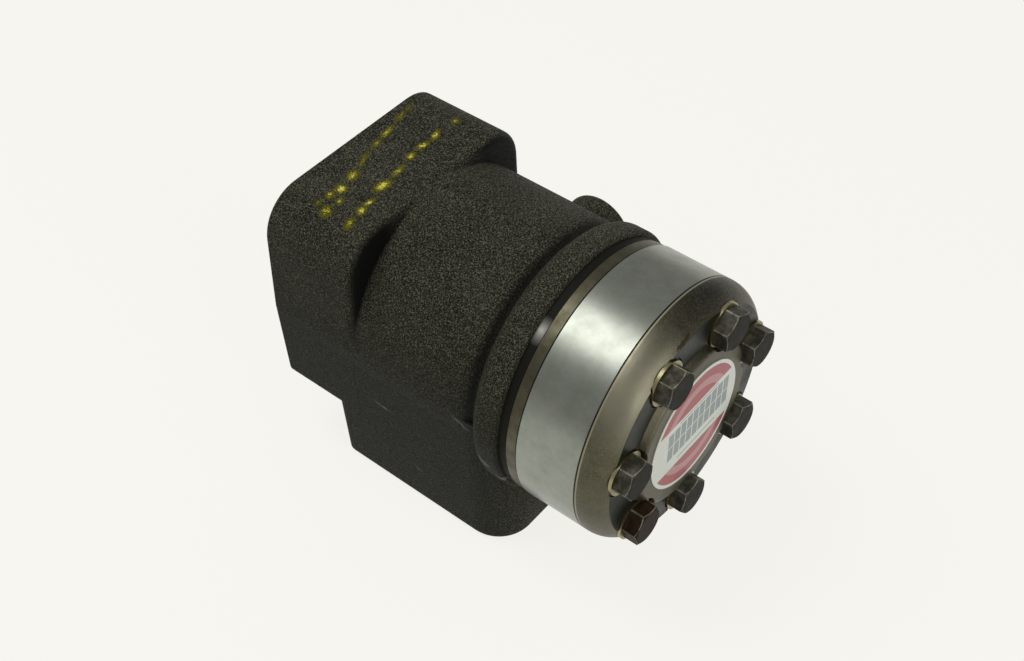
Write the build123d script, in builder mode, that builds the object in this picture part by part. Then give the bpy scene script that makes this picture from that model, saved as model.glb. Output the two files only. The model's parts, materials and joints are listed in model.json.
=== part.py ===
from build123d import *
from math import asin, atan2, cos, degrees, pi, radians, sin, sqrt, tan
import os

# Orbital steering unit with a gerotor meter, modelled in millimetres.
# The spool axis is X. The origin is the centre of the steering column's mounting
# face, X runs from there to the end cover, Z is up and the four ports face down.
# Everything is built along X, so most sketches lie on a plane parallel to YZ.
# The gear ring's outside sets the barrel, plate, cover and screw circle. The sleeve
# sets the bore, and the lengths follow one another from the mounting face backwards.

# Clearances
thread_fit = 0.02        # a thread is drawn as a plain cylinder this much inside its hole
running_fit = 0.02       # radial play of the spool in the sleeve and the sleeve in its bore
gear_play = 0.06         # play between the rotor and the lobes of the gear ring
end_play = 0.03          # gap beside the rotor and behind the spool set
seat_gap = 0.02          # an O-ring in its groove, a washer under its head
drive_play = 0.42        # play of the tilting cardan teeth in the rotor
valve_gap = 0.05         # between a valve ball or poppet and its seat at rest

# Gerotor
ring_radius = 47.5
gear_width = 23.5
eccentricity = 3.5
lobe_count = 7
lobe_radius = 7.5
lobe_inset = 15.0        # circles inside the gear ring's outer radius
meter_inset = 19.5
screw_inset = 11.2
o_ring_inset = 4.5
chamber_gap = 0.5        # between a rotor tip and the bottom of a chamber
chamber_fillet = 1.5

# Bore for the spool set, with the ring grooves that the ports feed
sleeve_radius = 19.0
groove_depth = 3.2
groove_width = 5.0
meter_duct_radius = 2.2

# Housing casting
barrel_step = 1.5        # the barrel lies this much inside the gear ring
draft = 2.6              # degrees, both ways from the parting plane
flange_thickness = 39.2
flange_side_step = 0.1   # its sides inside the barrel, at the parting plane
flange_top_corner = 16.5
flange_low_corner = 6.0
cast_edge = 3.5          # rounding of the cast outer edges
face_chamfer = 0.8
block_front = 22.0       # the port block, at the parting plane
block_side_step = 0.1    # its sides inside the flange's
block_drop = 19.5        # of the port face below the barrel
block_front_corner = 6.0
block_rear_corner = 17.0
block_rear_step = 1.8    # short of the housing's rear face
waist_length = 13.0
waist_depth = 1.6
cast_ring_length = 6.0   # the thicker ring behind the waist
cast_ring_step = 1.5     # outside the gear ring
cast_ring_edge = 1.6
spigot_length = 3.2      # turned edge against the distributor plate
spigot_step = 0.5

# Column mounting: four M10 holes on a circle
column_pcd = 82.5
column_tap_radius = 4.25
column_depth = 18.0

# Four G 1/2 ports in the port face
port_tap_radius = 9.5
port_depth = 16.0
port_behind_block = 24.0     # first row of ports, from the block's front
port_pitch_x = 33.0
port_pitch_y = 40.0
passage_radius = 4.0
drill_angle = 59.0       # degrees, half the point angle of the drills
passage_shift = 4.5      # along X, so that each port reaches a groove of its own
passage_pitch_y = 34.0
meter_behind_ports = 10.5    # from the last port groove to the commutator
meter_depth = 12.2           # of the commutator inside the rear face

# Boss with the load sensing port, on the far side
boss_shift = 1.0         # in front of the pressure groove
boss_z = 12.0
boss_radius = 13.0
boss_stand = 2.0         # outside the barrel
boss_edge = 2.0
sensing_tap_radius = 5.9         # G 1/4
sensing_depth = 13.0
sensing_drill = 1.6

# Seals and thrust bearing at the column end
neck_radius = 12.5
neck_gap = 0.4
neck_land = 2.0          # between the dust seal and the seal gland
neck_rear_land = 3.3
dust_seal_radius = 17.0
dust_seal_depth = 5.5
dust_seal_wall = 1.0
dust_lip_thickness = 0.6
dust_lip_reach = 2.2
seal_gland_radius = 16.4
seal_gland_width = 4.2
back_ring_wall = 1.5
outer_race_thickness = 3.0
needle_radius = 1.0
needle_count = 20
inner_race_thickness = 1.2
race_radius = 18.4
race_edge = 0.25
cage_wall = 0.6
cage_thickness = 1.2

# Spool
spool_radius = 14.5
spool_bore_radius = 10.8
spool_drill_point = 3.0
spool_front = 3.0
input_spline_depth = 20.0
input_pitch_radius = 19.05 / 2    # 12 teeth, 16/32 diametral pitch
input_teeth = 12
input_tooth_out = 0.9
input_tooth_in = 0.75
tooth_root_overlap = 0.3         # of a tooth's outline with the part it stands on
spool_slot_width = 2.6
spool_slot_depth = 1.5
spool_slot_count = 6
spool_slot_long = 30.0
spool_slot_short = 17.0

# Sleeve
sleeve_port_radius = 1.5
sleeve_port_count = 6
sleeve_port_turn = 15.0
commutator_radius = 1.3
commutator_count = 12

# Centring springs and their ring
spring_before_pin = 14.0
spring_width = 6.4
leaf_thickness = 0.5
leaf_end_gap = 1.1       # inside the sleeve's outer radius
leaf_bow = 0.75
leaf_gap = 0.01
spring_slot_width = 4.6
spring_slot_play = 0.08  # beside the springs, along the axis
spring_ring_wall = 0.8
spring_ring_width = 8.0

# Cross pin and cardan shaft
cross_pin_radius = 4.0
cross_pin_end_gap = 0.4          # inside the sleeve's outer radius
deflection = 9.0         # degrees of spool against sleeve before the pin stops it
cardan_head_radius = 9.4
cardan_head_end = 8.6            # from the pivot to the flat end of the head
cardan_slot_play = 0.12
cardan_slot_extra = 0.6          # depth of the fork behind the pin, for the tilt
cardan_shank_radius = 6.0
drive_teeth = 12
drive_tip_radius = 11.4          # of the cardan's teeth
drive_tooth_height = 2.1
drive_length = 13.0
drive_crown_radius = 16.0
button_radius = 4.65             # of the end that rests near the spacer
button_gap = 0.6
button_edge = 1.0
spacer_thickness = 3.0
spacer_radius = 8.6

# Plate and cover
plate_thickness = 4.3
plate_step = 0.3         # inside the gear ring
plate_hole_radius = 12.0
plate_edge = 0.3
cover_thickness = 12.5
cover_round = 11.2
cover_channel = 10.5     # height of the machined channel between the screws
cover_seat = 9.9         # height of the spot faces under the washers
cover_hub_step = 5.0     # inside the screw circle
cover_hub_height = 13.0
cover_hub_round = 1.8
pocket_margin = 0.7      # of a spot face around its washer
label_margin = 7.2       # inside the raised centre
label_thickness = 0.25

# Static O-rings between housing, plate, ring and cover
o_ring_wire = 0.75
o_ring_groove_depth = 1.55
o_ring_groove_width = 1.6

# Seven M8 cover screws on their washers
screw_count = 7
screw_radius = 4.0
screw_hole_radius = 4.25
screw_tap_radius = 3.4
screw_engagement = 17.0
screw_tap_depth = 20.0
head_across_flats = 13.0
head_height = 5.5
head_chamfer = 30.0      # degrees
head_face_radius = 6.2
washer_outer = 8.0
washer_thickness = 1.2

# Check valve under the special screw, two suction valves under the side screws
check_bushing_radius = 5.0
check_bushing_length = 17.5
check_bushing_sink = 0.6
check_ball_radius = 3.75
check_bore_play = 0.2
check_travel = 1.5
rolled_pin_radius = 1.25
suction_ball_radius = 3.0
suction_travel = 1.2
suction_pin_radius = 1.5
valve_drill = 1.8

# Relief valve and two shock valves, opening on the mounting face
relief_bore_radius = 5.0
relief_wall = 4.3        # between the relief bore and the ring grooves
relief_floor = 2.5       # between the relief bore and the flange's underside
relief_before_groove = 32.5      # from the end of the bore to the pressure groove
shock_wall = 6.5         # between the relief and the shock bores
shock_bore_radius = 4.0
shock_before_groove = 7.5
plug_recess = 1.0
plug_length = 6.0
setting_screw_length = 5.0
setting_screw_gap = 1.5
relief_key_radius = 2.5          # of the hexagon sockets, to their flats
shock_key_radius = 2.0
poppet_length = 7.0
valve_spring_turns = 5
valve_spring_wire = 0.5
poppet_radius = 3.0
relief_spring_radius = 3.0
shock_ball_radius = 2.6
shock_spring_radius = 2.3

# Radii that follow from the gear ring and the sleeve
barrel_radius = ring_radius - barrel_step
half_width = barrel_radius - flange_side_step
flange_top = barrel_radius
port_face = barrel_radius + block_drop
cast_ring_radius = ring_radius + cast_ring_step
spigot_radius = ring_radius - spigot_step
boss_reach = barrel_radius + boss_stand
plate_radius = ring_radius - plate_step
lobe_circle = ring_radius - lobe_inset
meter_circle = ring_radius - meter_inset
screw_circle = ring_radius - screw_inset
o_ring_circle = ring_radius - o_ring_inset
cover_hub_radius = screw_circle - cover_hub_step
label_radius = cover_hub_radius - label_margin
pocket_radius = washer_outer + pocket_margin
bore_radius = sleeve_radius + running_fit
sleeve_bore_radius = spool_radius + running_fit
groove_radius = bore_radius + groove_depth
leaf_half_length = sleeve_radius - leaf_end_gap
cross_pin_half_length = sleeve_radius - cross_pin_end_gap
relief_z = groove_radius + relief_wall + relief_bore_radius      # below the axis
flange_bottom = relief_z + relief_bore_radius + relief_floor
shock_y = relief_bore_radius + shock_wall + shock_bore_radius
shock_z = relief_z

# Stations along the axis, from the mounting face to the cover
seal_gland_start = dust_seal_depth + neck_land
bearing_seat_x = seal_gland_start + seal_gland_width + neck_rear_land
needle_x = bearing_seat_x + outer_race_thickness + needle_radius
inner_race_x = needle_x + needle_radius
spool_x = inner_race_x + inner_race_thickness + end_play
port_first_x = block_front + port_behind_block
port_stations = [port_first_x, port_first_x + port_pitch_x]
groove_stations = [x + side * passage_shift for x in port_stations for side in (-1, 1)]
pressure_x = groove_stations[2]
cross_pin_x = port_first_x
spring_x = cross_pin_x - spring_before_pin
spool_bore_start = spring_x - spring_ring_width / 2
relief_length = pressure_x - relief_before_groove
shock_length = groove_stations[0] - shock_before_groove
boss_x = pressure_x - boss_shift
meter_groove_x = groove_stations[3] + meter_behind_ports
housing_length = meter_groove_x + meter_depth
spool_end = housing_length - end_play
block_rear = housing_length - block_rear_step
cast_ring_end = housing_length - spigot_length
cast_ring_start = cast_ring_end - cast_ring_length
waist_middle = cast_ring_start - waist_length / 2
waist_start = cast_ring_start - waist_length
plate_x = housing_length
gear_x = plate_x + plate_thickness
cover_x = gear_x + gear_width
gear_middle = gear_x + gear_width / 2
seat_x = cover_x + cover_seat
screw_start = -90.0
screw_step = 360.0 / screw_count
chamber_start = screw_start + screw_step / 2
special_screw_angle = screw_start - screw_step
contact_angle = screw_start      # the lobe that a rotor tooth touches at rest
bushing_end_x = housing_length - check_bushing_sink - check_bushing_length
check_ball_x = bushing_end_x - check_travel - check_ball_radius
suction_ball_x = housing_length - screw_tap_depth - suction_travel - suction_ball_radius
check_bore_radius = check_ball_radius + check_bore_play
suction_bore_radius = suction_ball_radius + check_bore_play

os.makedirs("parts", exist_ok=True)


def finish(piece, name):
    """Label a piece and write it to its own STEP file."""
    piece.part.label = name
    export_step(piece.part, f"parts/{name}.step")


def at(x):
    """The plane across the axis at station x, with its own x along Y and y along Z."""
    return Plane.YZ.offset(x)


def around(radius, angle):
    """The point at this radius and angle, in a plane across the axis."""
    return (radius * cos(radians(angle)), radius * sin(radians(angle)))


def stepped(steps):
    """The outline of a turned shape, from the (start, end, radius) of each step."""
    points = [(steps[0][0], 0)]
    for start, end, radius in steps:
        points += [(start, radius), (end, radius)]
    return points + [(steps[-1][1], 0)]


def seat_rise(ball_radius, bore):
    """How far a ball's centre lies from the edge of the 45 degree seat it rests on."""
    return (ball_radius + valve_gap) * sqrt(2) - bore


def tooth_outline(pitch_radius, inner_radius, outer_radius, teeth, play, angle):
    """Four corners of a straight sided spline tooth with 30 degree flanks."""
    half_pitch = pi * pitch_radius / teeth / 2 - play
    corners = []
    for radius, side in ((inner_radius, 1), (outer_radius, 1), (outer_radius, -1), (inner_radius, -1)):
        half_width_here = half_pitch + (pitch_radius - radius) * tan(radians(30))
        corners.append(around(radius, angle + side * degrees(half_width_here / radius)))
    return corners


# Housing
# The flange has a flat top and sides that draft away from the parting plane.
# The port block drops from the parting plane with the same draft, and the barrel
# is turned about the spool axis and runs into the block's sides.
draft_slope = tan(radians(draft))
block_plane = Plane(origin=(0, 0, 0), x_dir=(1, 0, 0), z_dir=(0, 0, -1))
boss_plane = Plane(origin=(boss_x, boss_reach, boss_z), x_dir=(1, 0, 0), z_dir=(0, 1, 0))
port_plane = Plane(origin=(0, 0, -port_face), x_dir=(1, 0, 0), z_dir=(0, 0, 1))
port_middle = (port_first_x + port_pitch_x / 2, 0)
check_spot = around(screw_circle, special_screw_angle)
suction_spots = [around(screw_circle, screw_start + 2 * screw_step),
                 around(screw_circle, screw_start - 2 * screw_step)]
shock_spots = [(-shock_y, -shock_z), (shock_y, -shock_z)]
relief_spot = (0, -relief_z)
passage_spots = [(groove_stations[0], -passage_pitch_y / 2), (groove_stations[1], passage_pitch_y / 2),
                 (groove_stations[3], -passage_pitch_y / 2), (groove_stations[2], passage_pitch_y / 2)]

with BuildPart() as port_block:
    with BuildSketch(block_plane):
        with Locations(((block_front + block_rear) / 2, 0)):
            Rectangle(block_rear - block_front, 2 * (half_width - block_side_step))
        fillet(vertices().group_by(Axis.X)[-1], block_rear_corner)
        fillet(vertices().group_by(Axis.X)[0], block_front_corner)
    extrude(amount=port_face, taper=draft)
    fillet(faces().sort_by(Axis.Z)[0].edges(), cast_edge)

with BuildPart() as boss_pad:
    with BuildSketch(boss_plane):
        Circle(boss_radius)
    extrude(amount=-boss_reach / 2)
    fillet(faces().sort_by(Axis.Y)[-1].edges(), boss_edge)

with BuildPart() as housing:
    with BuildSketch(at(0)):
        with BuildLine():
            top_half = half_width - flange_top * draft_slope
            low_half = half_width - flange_bottom * draft_slope
            Polyline((-half_width, 0), (-top_half, flange_top), (top_half, flange_top),
                     (half_width, 0), (low_half, -flange_bottom), (-low_half, -flange_bottom), close=True)
        make_face()
        fillet(vertices().group_by(Axis.Y)[-1], flange_top_corner)
        fillet(vertices().group_by(Axis.Y)[0], flange_low_corner)
    extrude(amount=flange_thickness)
    fillet(faces().sort_by(Axis.X)[-1].edges(), cast_edge)
    chamfer(faces().sort_by(Axis.X)[0].edges(), face_chamfer)

    add(port_block.part)

    with BuildSketch(Plane.XY):
        with BuildLine():
            ring_top = (cast_ring_start, cast_ring_radius)
            waist = (waist_middle, barrel_radius - waist_depth)
            Polyline((waist_start, barrel_radius), (block_front, barrel_radius), (block_front, 0),
                     (housing_length, 0), (housing_length, spigot_radius), (cast_ring_end, spigot_radius),
                     (cast_ring_end, cast_ring_radius), ring_top)
            Spline((waist_start, barrel_radius), waist, ring_top, tangents=((1, 0), (1, 0)))
        make_face()
        ring_corner = vertices().sort_by_distance((cast_ring_end, cast_ring_radius))[0]
        fillet(ring_corner, cast_ring_edge)
    revolve(axis=Axis.X)

    add(boss_pad.part)

    # Spool bore with its seal glands, and the four ring grooves that the ports feed
    with BuildSketch(Plane.XY):
        with BuildLine():
            neck_hole = neck_radius + neck_gap
            bore_steps = [(0, dust_seal_depth, dust_seal_radius),
                          (dust_seal_depth, seal_gland_start, neck_hole),
                          (seal_gland_start, seal_gland_start + seal_gland_width, seal_gland_radius),
                          (seal_gland_start + seal_gland_width, bearing_seat_x, neck_hole)]
            bore_start = bearing_seat_x
            for groove_x in groove_stations:
                groove_start = groove_x - groove_width / 2
                groove_end = groove_x + groove_width / 2
                bore_steps.append((bore_start, groove_start, bore_radius))
                bore_steps.append((groove_start, groove_end, groove_radius))
                bore_start = groove_end
            bore_steps.append((bore_start, housing_length, bore_radius))
            Polyline(*stepped(bore_steps), close=True)
        make_face()
    revolve(axis=Axis.X, mode=Mode.SUBTRACT)
    with BuildSketch(at(housing_length)):
        Circle(o_ring_circle + o_ring_groove_width / 2)
        Circle(o_ring_circle - o_ring_groove_width / 2, mode=Mode.SUBTRACT)
    extrude(amount=-o_ring_groove_depth, mode=Mode.SUBTRACT)

    # Ports: tapped hole, drill point, and a passage up to the port's own groove
    port_cone = (port_tap_radius - passage_radius) / tan(radians(drill_angle))
    for port_plane_here, depth, taper in ((port_plane, port_depth, 0),
                                          (port_plane.offset(port_depth), port_cone, drill_angle)):
        with BuildSketch(port_plane_here):
            with Locations(port_middle):
                with GridLocations(port_pitch_x, port_pitch_y, 2, 2):
                    Circle(port_tap_radius)
        extrude(amount=depth, taper=taper, mode=Mode.SUBTRACT)
    with BuildSketch(port_plane.offset(port_depth)):
        with Locations(*passage_spots):
            Circle(passage_radius)
    passage_top = sqrt(bore_radius**2 - (passage_pitch_y / 2) ** 2)
    extrude(amount=port_face - port_depth - passage_top, mode=Mode.SUBTRACT)

    # Load sensing port in the boss, drilled on to the pressure groove
    for hole_radius, depth in ((sensing_tap_radius, sensing_depth),
                               (sensing_drill, boss_reach - sleeve_radius)):
        with BuildSketch(boss_plane):
            Circle(hole_radius)
        extrude(amount=-depth, mode=Mode.SUBTRACT)

    # Column mounting holes, and tapped holes for the cover screws
    with BuildSketch(at(0)):
        with PolarLocations(column_pcd / 2, 4, start_angle=45):
            Circle(column_tap_radius)
    extrude(amount=column_depth, mode=Mode.SUBTRACT)
    with BuildSketch(at(housing_length)):
        with PolarLocations(screw_circle, screw_count, start_angle=screw_start):
            Circle(screw_tap_radius)
    extrude(amount=-screw_tap_depth, mode=Mode.SUBTRACT)

    # Seven ducts slant from the rear face to the commutator row of the sleeve
    duct_slant = atan2(meter_circle - sleeve_radius, housing_length - meter_groove_x)
    for duct in range(lobe_count):
        duct_angle = radians(chamber_start + duct * screw_step)
        duct_direction = Vector(-cos(duct_slant), -sin(duct_slant) * cos(duct_angle),
                                -sin(duct_slant) * sin(duct_angle))
        duct_mouth = Vector(housing_length, *around(meter_circle, degrees(duct_angle)))
        duct_length = (housing_length - meter_groove_x) / cos(duct_slant)
        with BuildSketch(Plane(origin=duct_mouth - duct_direction * duct_length / 4, z_dir=duct_direction)):
            Circle(meter_duct_radius)
        extrude(amount=duct_length * 1.25, mode=Mode.SUBTRACT)

    # Bore and bushing thread of the check valve, bores of the two suction valves
    check_edge_x = check_ball_x - seat_rise(check_ball_radius, check_bore_radius)
    suction_edge_x = suction_ball_x - seat_rise(suction_ball_radius, suction_bore_radius)
    for spot, hole_radius, depth in (
        (check_spot, check_bushing_radius, check_bushing_sink + check_bushing_length),
        (check_spot, check_bore_radius, housing_length - check_edge_x),
        (suction_spots[0], suction_bore_radius, housing_length - suction_edge_x),
        (suction_spots[1], suction_bore_radius, housing_length - suction_edge_x),
    ):
        with BuildSketch(at(housing_length)):
            with Locations(spot):
                Circle(hole_radius)
        extrude(amount=-depth, mode=Mode.SUBTRACT)

    # Bores of the relief and shock valves, from the mounting face
    for spot, hole_radius, depth in ((relief_spot, relief_bore_radius, relief_length),
                                     (shock_spots[0], shock_bore_radius, shock_length),
                                     (shock_spots[1], shock_bore_radius, shock_length),
                                     (relief_spot, valve_drill, pressure_x),
                                     (shock_spots[0], valve_drill, groove_stations[0]),
                                     (shock_spots[1], valve_drill, groove_stations[1])):
        with BuildSketch(at(0)):
            with Locations(spot):
                Circle(hole_radius)
        extrude(amount=depth, mode=Mode.SUBTRACT)
    with BuildSketch(Plane(origin=(pressure_x, 0, -relief_z), x_dir=(1, 0, 0), z_dir=(0, 1, 0))):
        Circle(valve_drill)
    extrude(amount=passage_pitch_y / 2, mode=Mode.SUBTRACT)

    # A conical seat under each ball and poppet, with a drilled hole behind it
    for spot, ball_radius, edge_x, bore, side in (
        (check_spot, check_ball_radius, check_edge_x, check_bore_radius, -1),
        (suction_spots[0], suction_ball_radius, suction_edge_x, suction_bore_radius, -1),
        (suction_spots[1], suction_ball_radius, suction_edge_x, suction_bore_radius, -1),
        (relief_spot, poppet_radius, relief_length, relief_bore_radius, 1),
        (shock_spots[0], shock_ball_radius, shock_length, shock_bore_radius, 1),
        (shock_spots[1], shock_ball_radius, shock_length, shock_bore_radius, 1),
    ):
        tip_x = edge_x + side * (bore - valve_drill)
        with BuildSketch(at(edge_x)):
            with Locations(spot):
                Circle(bore)
        with BuildSketch(at(tip_x)):
            with Locations(spot):
                Circle(valve_drill)
        loft(mode=Mode.SUBTRACT)
        with BuildSketch(at(tip_x)):
            with Locations(spot):
                Circle(valve_drill)
        extrude(amount=side * ball_radius, mode=Mode.SUBTRACT)
finish(housing, "housing")

# Dust seal, shaft seal with its back ring, and the thrust bearing
dust_lip_radius = neck_radius + running_fit
with BuildPart() as dust_seal:
    with BuildSketch(Plane.XY):
        with BuildLine():
            Polyline((face_chamfer, dust_seal_radius - seat_gap),
                     (dust_seal_depth, dust_seal_radius - seat_gap),
                     (dust_seal_depth, dust_lip_radius + dust_seal_wall),
                     (dust_seal_depth - dust_seal_wall, dust_lip_radius + dust_seal_wall),
                     (spool_front + dust_lip_thickness, dust_lip_radius + dust_lip_thickness),
                     (spool_front, dust_lip_radius),
                     (spool_front - dust_lip_thickness, dust_lip_radius + dust_lip_thickness),
                     (face_chamfer, dust_lip_radius + dust_lip_reach), close=True)
        make_face()
    revolve(axis=Axis.X)
finish(dust_seal, "dust_seal")

gland_middle = seal_gland_start + seal_gland_width / 2
back_ring_outer = neck_radius + running_fit + back_ring_wall
with BuildPart() as shaft_seal_ring:
    with BuildSketch(at(gland_middle - seal_gland_width / 2 + seat_gap)):
        Circle(back_ring_outer)
        Circle(neck_radius + running_fit, mode=Mode.SUBTRACT)
    extrude(amount=seal_gland_width - 2 * seat_gap)
finish(shaft_seal_ring, "shaft_seal_ring")

shaft_o_ring_wire = (seal_gland_radius - back_ring_outer) / 2 - seat_gap
with BuildPart() as shaft_seal_o_ring:
    with Locations(Location((gland_middle, 0, 0), (0, 90, 0))):
        Torus(back_ring_outer + seat_gap + shaft_o_ring_wire, shaft_o_ring_wire)
finish(shaft_seal_o_ring, "shaft_seal_o_ring")

race_hole_radius = neck_radius + 2 * neck_gap
for race_name, race_x, race_thickness in (("bearing_outer_race", bearing_seat_x, outer_race_thickness),
                                          ("bearing_inner_race", inner_race_x, inner_race_thickness)):
    with BuildPart() as race:
        with BuildSketch(at(race_x)):
            Circle(race_radius)
            Circle(race_hole_radius, mode=Mode.SUBTRACT)
        extrude(amount=race_thickness)
        chamfer(edges().filter_by(GeomType.CIRCLE).group_by(SortBy.RADIUS)[-1], race_edge)
    finish(race, race_name)

needle_length = race_radius - race_hole_radius - 2 * cage_wall
needle_middle = (race_radius + race_hole_radius) / 2
with BuildPart() as thrust_needles:
    for needle in range(needle_count):
        turn = 360 / needle_count * needle
        needle_plane = Plane(origin=(needle_x, *around(needle_middle - needle_length / 2, turn)),
                             z_dir=(0, *around(1, turn)))
        with BuildSketch(needle_plane):
            Circle(needle_radius - running_fit)
        extrude(amount=needle_length)
finish(thrust_needles, "thrust_needles")

with BuildPart() as needle_cage:
    with BuildSketch(at(needle_x - cage_thickness / 2)):
        Circle(race_radius)
        Circle(race_hole_radius, mode=Mode.SUBTRACT)
        with PolarLocations(needle_middle, needle_count):
            Rectangle(needle_length + 2 * seat_gap, 2 * needle_radius, mode=Mode.SUBTRACT)
    extrude(amount=cage_thickness)
finish(needle_cage, "needle_cage")

# Spool: a splined neck for the column shaft, a slot for the centring springs,
# clearance holes for the cross pin and milled slots on the outside
pin_stop_gap = spool_radius * sin(radians(deflection)) + 2 * seat_gap
with BuildPart() as spool:
    with BuildSketch(Plane.XY):
        with BuildLine():
            Polyline((spool_front, 0), (spool_front, neck_radius - face_chamfer),
                     (spool_front + face_chamfer, neck_radius), (spool_x, neck_radius),
                     (spool_x, spool_radius), (spool_end, spool_radius), (spool_end, spool_bore_radius),
                     (spool_bore_start, spool_bore_radius),
                     (spool_bore_start - spool_drill_point, 0), close=True)
        make_face()
    revolve(axis=Axis.X)
    with BuildSketch(at(spool_front)):
        input_clear_radius = input_pitch_radius - input_tooth_in
        Circle(input_clear_radius)
        for tooth in range(input_teeth):
            with BuildLine():
                Polyline(*tooth_outline(input_pitch_radius, input_clear_radius - tooth_root_overlap,
                                        input_pitch_radius + input_tooth_out, input_teeth, 0,
                                        tooth * 360 / input_teeth), close=True)
            make_face()
    extrude(amount=input_spline_depth, mode=Mode.SUBTRACT)
    with Locations((spring_x, 0, 0)):
        Box(spring_width + 2 * spring_slot_play, spring_slot_width, 3 * spool_radius, mode=Mode.SUBTRACT)
    with Locations(Location((cross_pin_x, 0, 0), (90, 0, 0))):
        Cylinder(cross_pin_radius + pin_stop_gap, 3 * spool_radius, mode=Mode.SUBTRACT)
    for slot in range(spool_slot_count):
        turn = 360 / spool_slot_count * slot
        long_middle = (groove_stations[2] + meter_groove_x) / 2 - groove_width
        short_middle = groove_stations[1] + groove_width
        with Locations(Location((long_middle, 0, 0), (turn, 0, 0))):
            with Locations((0, 0, spool_radius)):
                Box(spool_slot_long, spool_slot_width, 2 * spool_slot_depth, mode=Mode.SUBTRACT)
        with Locations(Location((short_middle, 0, 0), (turn + 180 / spool_slot_count, 0, 0))):
            with Locations((spool_slot_short / 2, 0, spool_radius)):
                Box(spool_slot_short, spool_slot_width, 2 * spool_slot_depth, mode=Mode.SUBTRACT)
finish(spool, "spool")

# Sleeve: rotates in the housing and carries the cross pin, springs and ring
ring_recess_radius = sleeve_radius - spring_ring_wall - 4 * seat_gap
with BuildPart() as sleeve:
    with BuildSketch(at(spool_x)):
        Circle(sleeve_radius)
        Circle(sleeve_bore_radius, mode=Mode.SUBTRACT)
    extrude(amount=spool_end - spool_x)
    with BuildSketch(at(spring_x - spring_ring_width / 2 - seat_gap)):
        Circle(2 * sleeve_radius)
        Circle(ring_recess_radius, mode=Mode.SUBTRACT)
    extrude(amount=spring_ring_width + 2 * seat_gap, mode=Mode.SUBTRACT)
    with Locations((spring_x, 0, 0)):
        Box(spring_width + 2 * spring_slot_play, spring_slot_width, 3 * sleeve_radius, mode=Mode.SUBTRACT)
    with Locations(Location((cross_pin_x, 0, 0), (90, 0, 0))):
        Cylinder(cross_pin_radius + running_fit, 3 * sleeve_radius, mode=Mode.SUBTRACT)
    for row_x in groove_stations:
        for hole in range(sleeve_port_count // 2):
            hole_turn = hole * 360 / sleeve_port_count + sleeve_port_turn
            with Locations(Location((row_x, 0, 0), (hole_turn, 0, 0))):
                Cylinder(sleeve_port_radius, 3 * sleeve_radius, mode=Mode.SUBTRACT)
    for hole in range(commutator_count // 2):
        with Locations(Location((meter_groove_x, 0, 0), (hole * 360 / commutator_count, 0, 0))):
            Cylinder(commutator_radius, 3 * sleeve_radius, mode=Mode.SUBTRACT)
finish(sleeve, "sleeve")

with BuildPart() as spring_ring:
    with BuildSketch(at(spring_x - spring_ring_width / 2)):
        Circle(ring_recess_radius + seat_gap + spring_ring_wall)
        Circle(ring_recess_radius + seat_gap, mode=Mode.SUBTRACT)
    extrude(amount=spring_ring_width)
finish(spring_ring, "spring_ring")

# Centring springs: two flat leaves between two pairs of bowed ones
with BuildPart() as flat_springs:
    for side in (-1, 1):
        with Locations((spring_x, side * (leaf_thickness + leaf_gap) / 2, 0)):
            Box(spring_width, leaf_thickness, 2 * leaf_half_length)
finish(flat_springs, "flat_springs")

with BuildPart() as bowed_springs:
    for side in (-1, 1):
        for leaf in (0, 1):
            inner = side * (leaf + 1) * (leaf_thickness + 2 * leaf_gap)
            outer = inner + side * leaf_thickness
            tips = side * leaf_bow
            end = leaf_half_length
            with BuildSketch(at(spring_x - spring_width / 2)):
                with BuildLine():
                    ThreePointArc((inner + tips, -end), (inner, 0), (inner + tips, end))
                    Line((inner + tips, end), (outer + tips, end))
                    ThreePointArc((outer + tips, end), (outer, 0), (outer + tips, -end))
                    Line((outer + tips, -end), (inner + tips, -end))
                make_face()
            extrude(amount=spring_width)
finish(bowed_springs, "bowed_springs")

with BuildPart() as cross_pin:
    with Locations(Location((cross_pin_x, 0, 0), (90, 0, 0))):
        Cylinder(cross_pin_radius, 2 * cross_pin_half_length)
    chamfer(edges().filter_by(GeomType.CIRCLE), face_chamfer / 2)
finish(cross_pin, "cross_pin")

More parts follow.
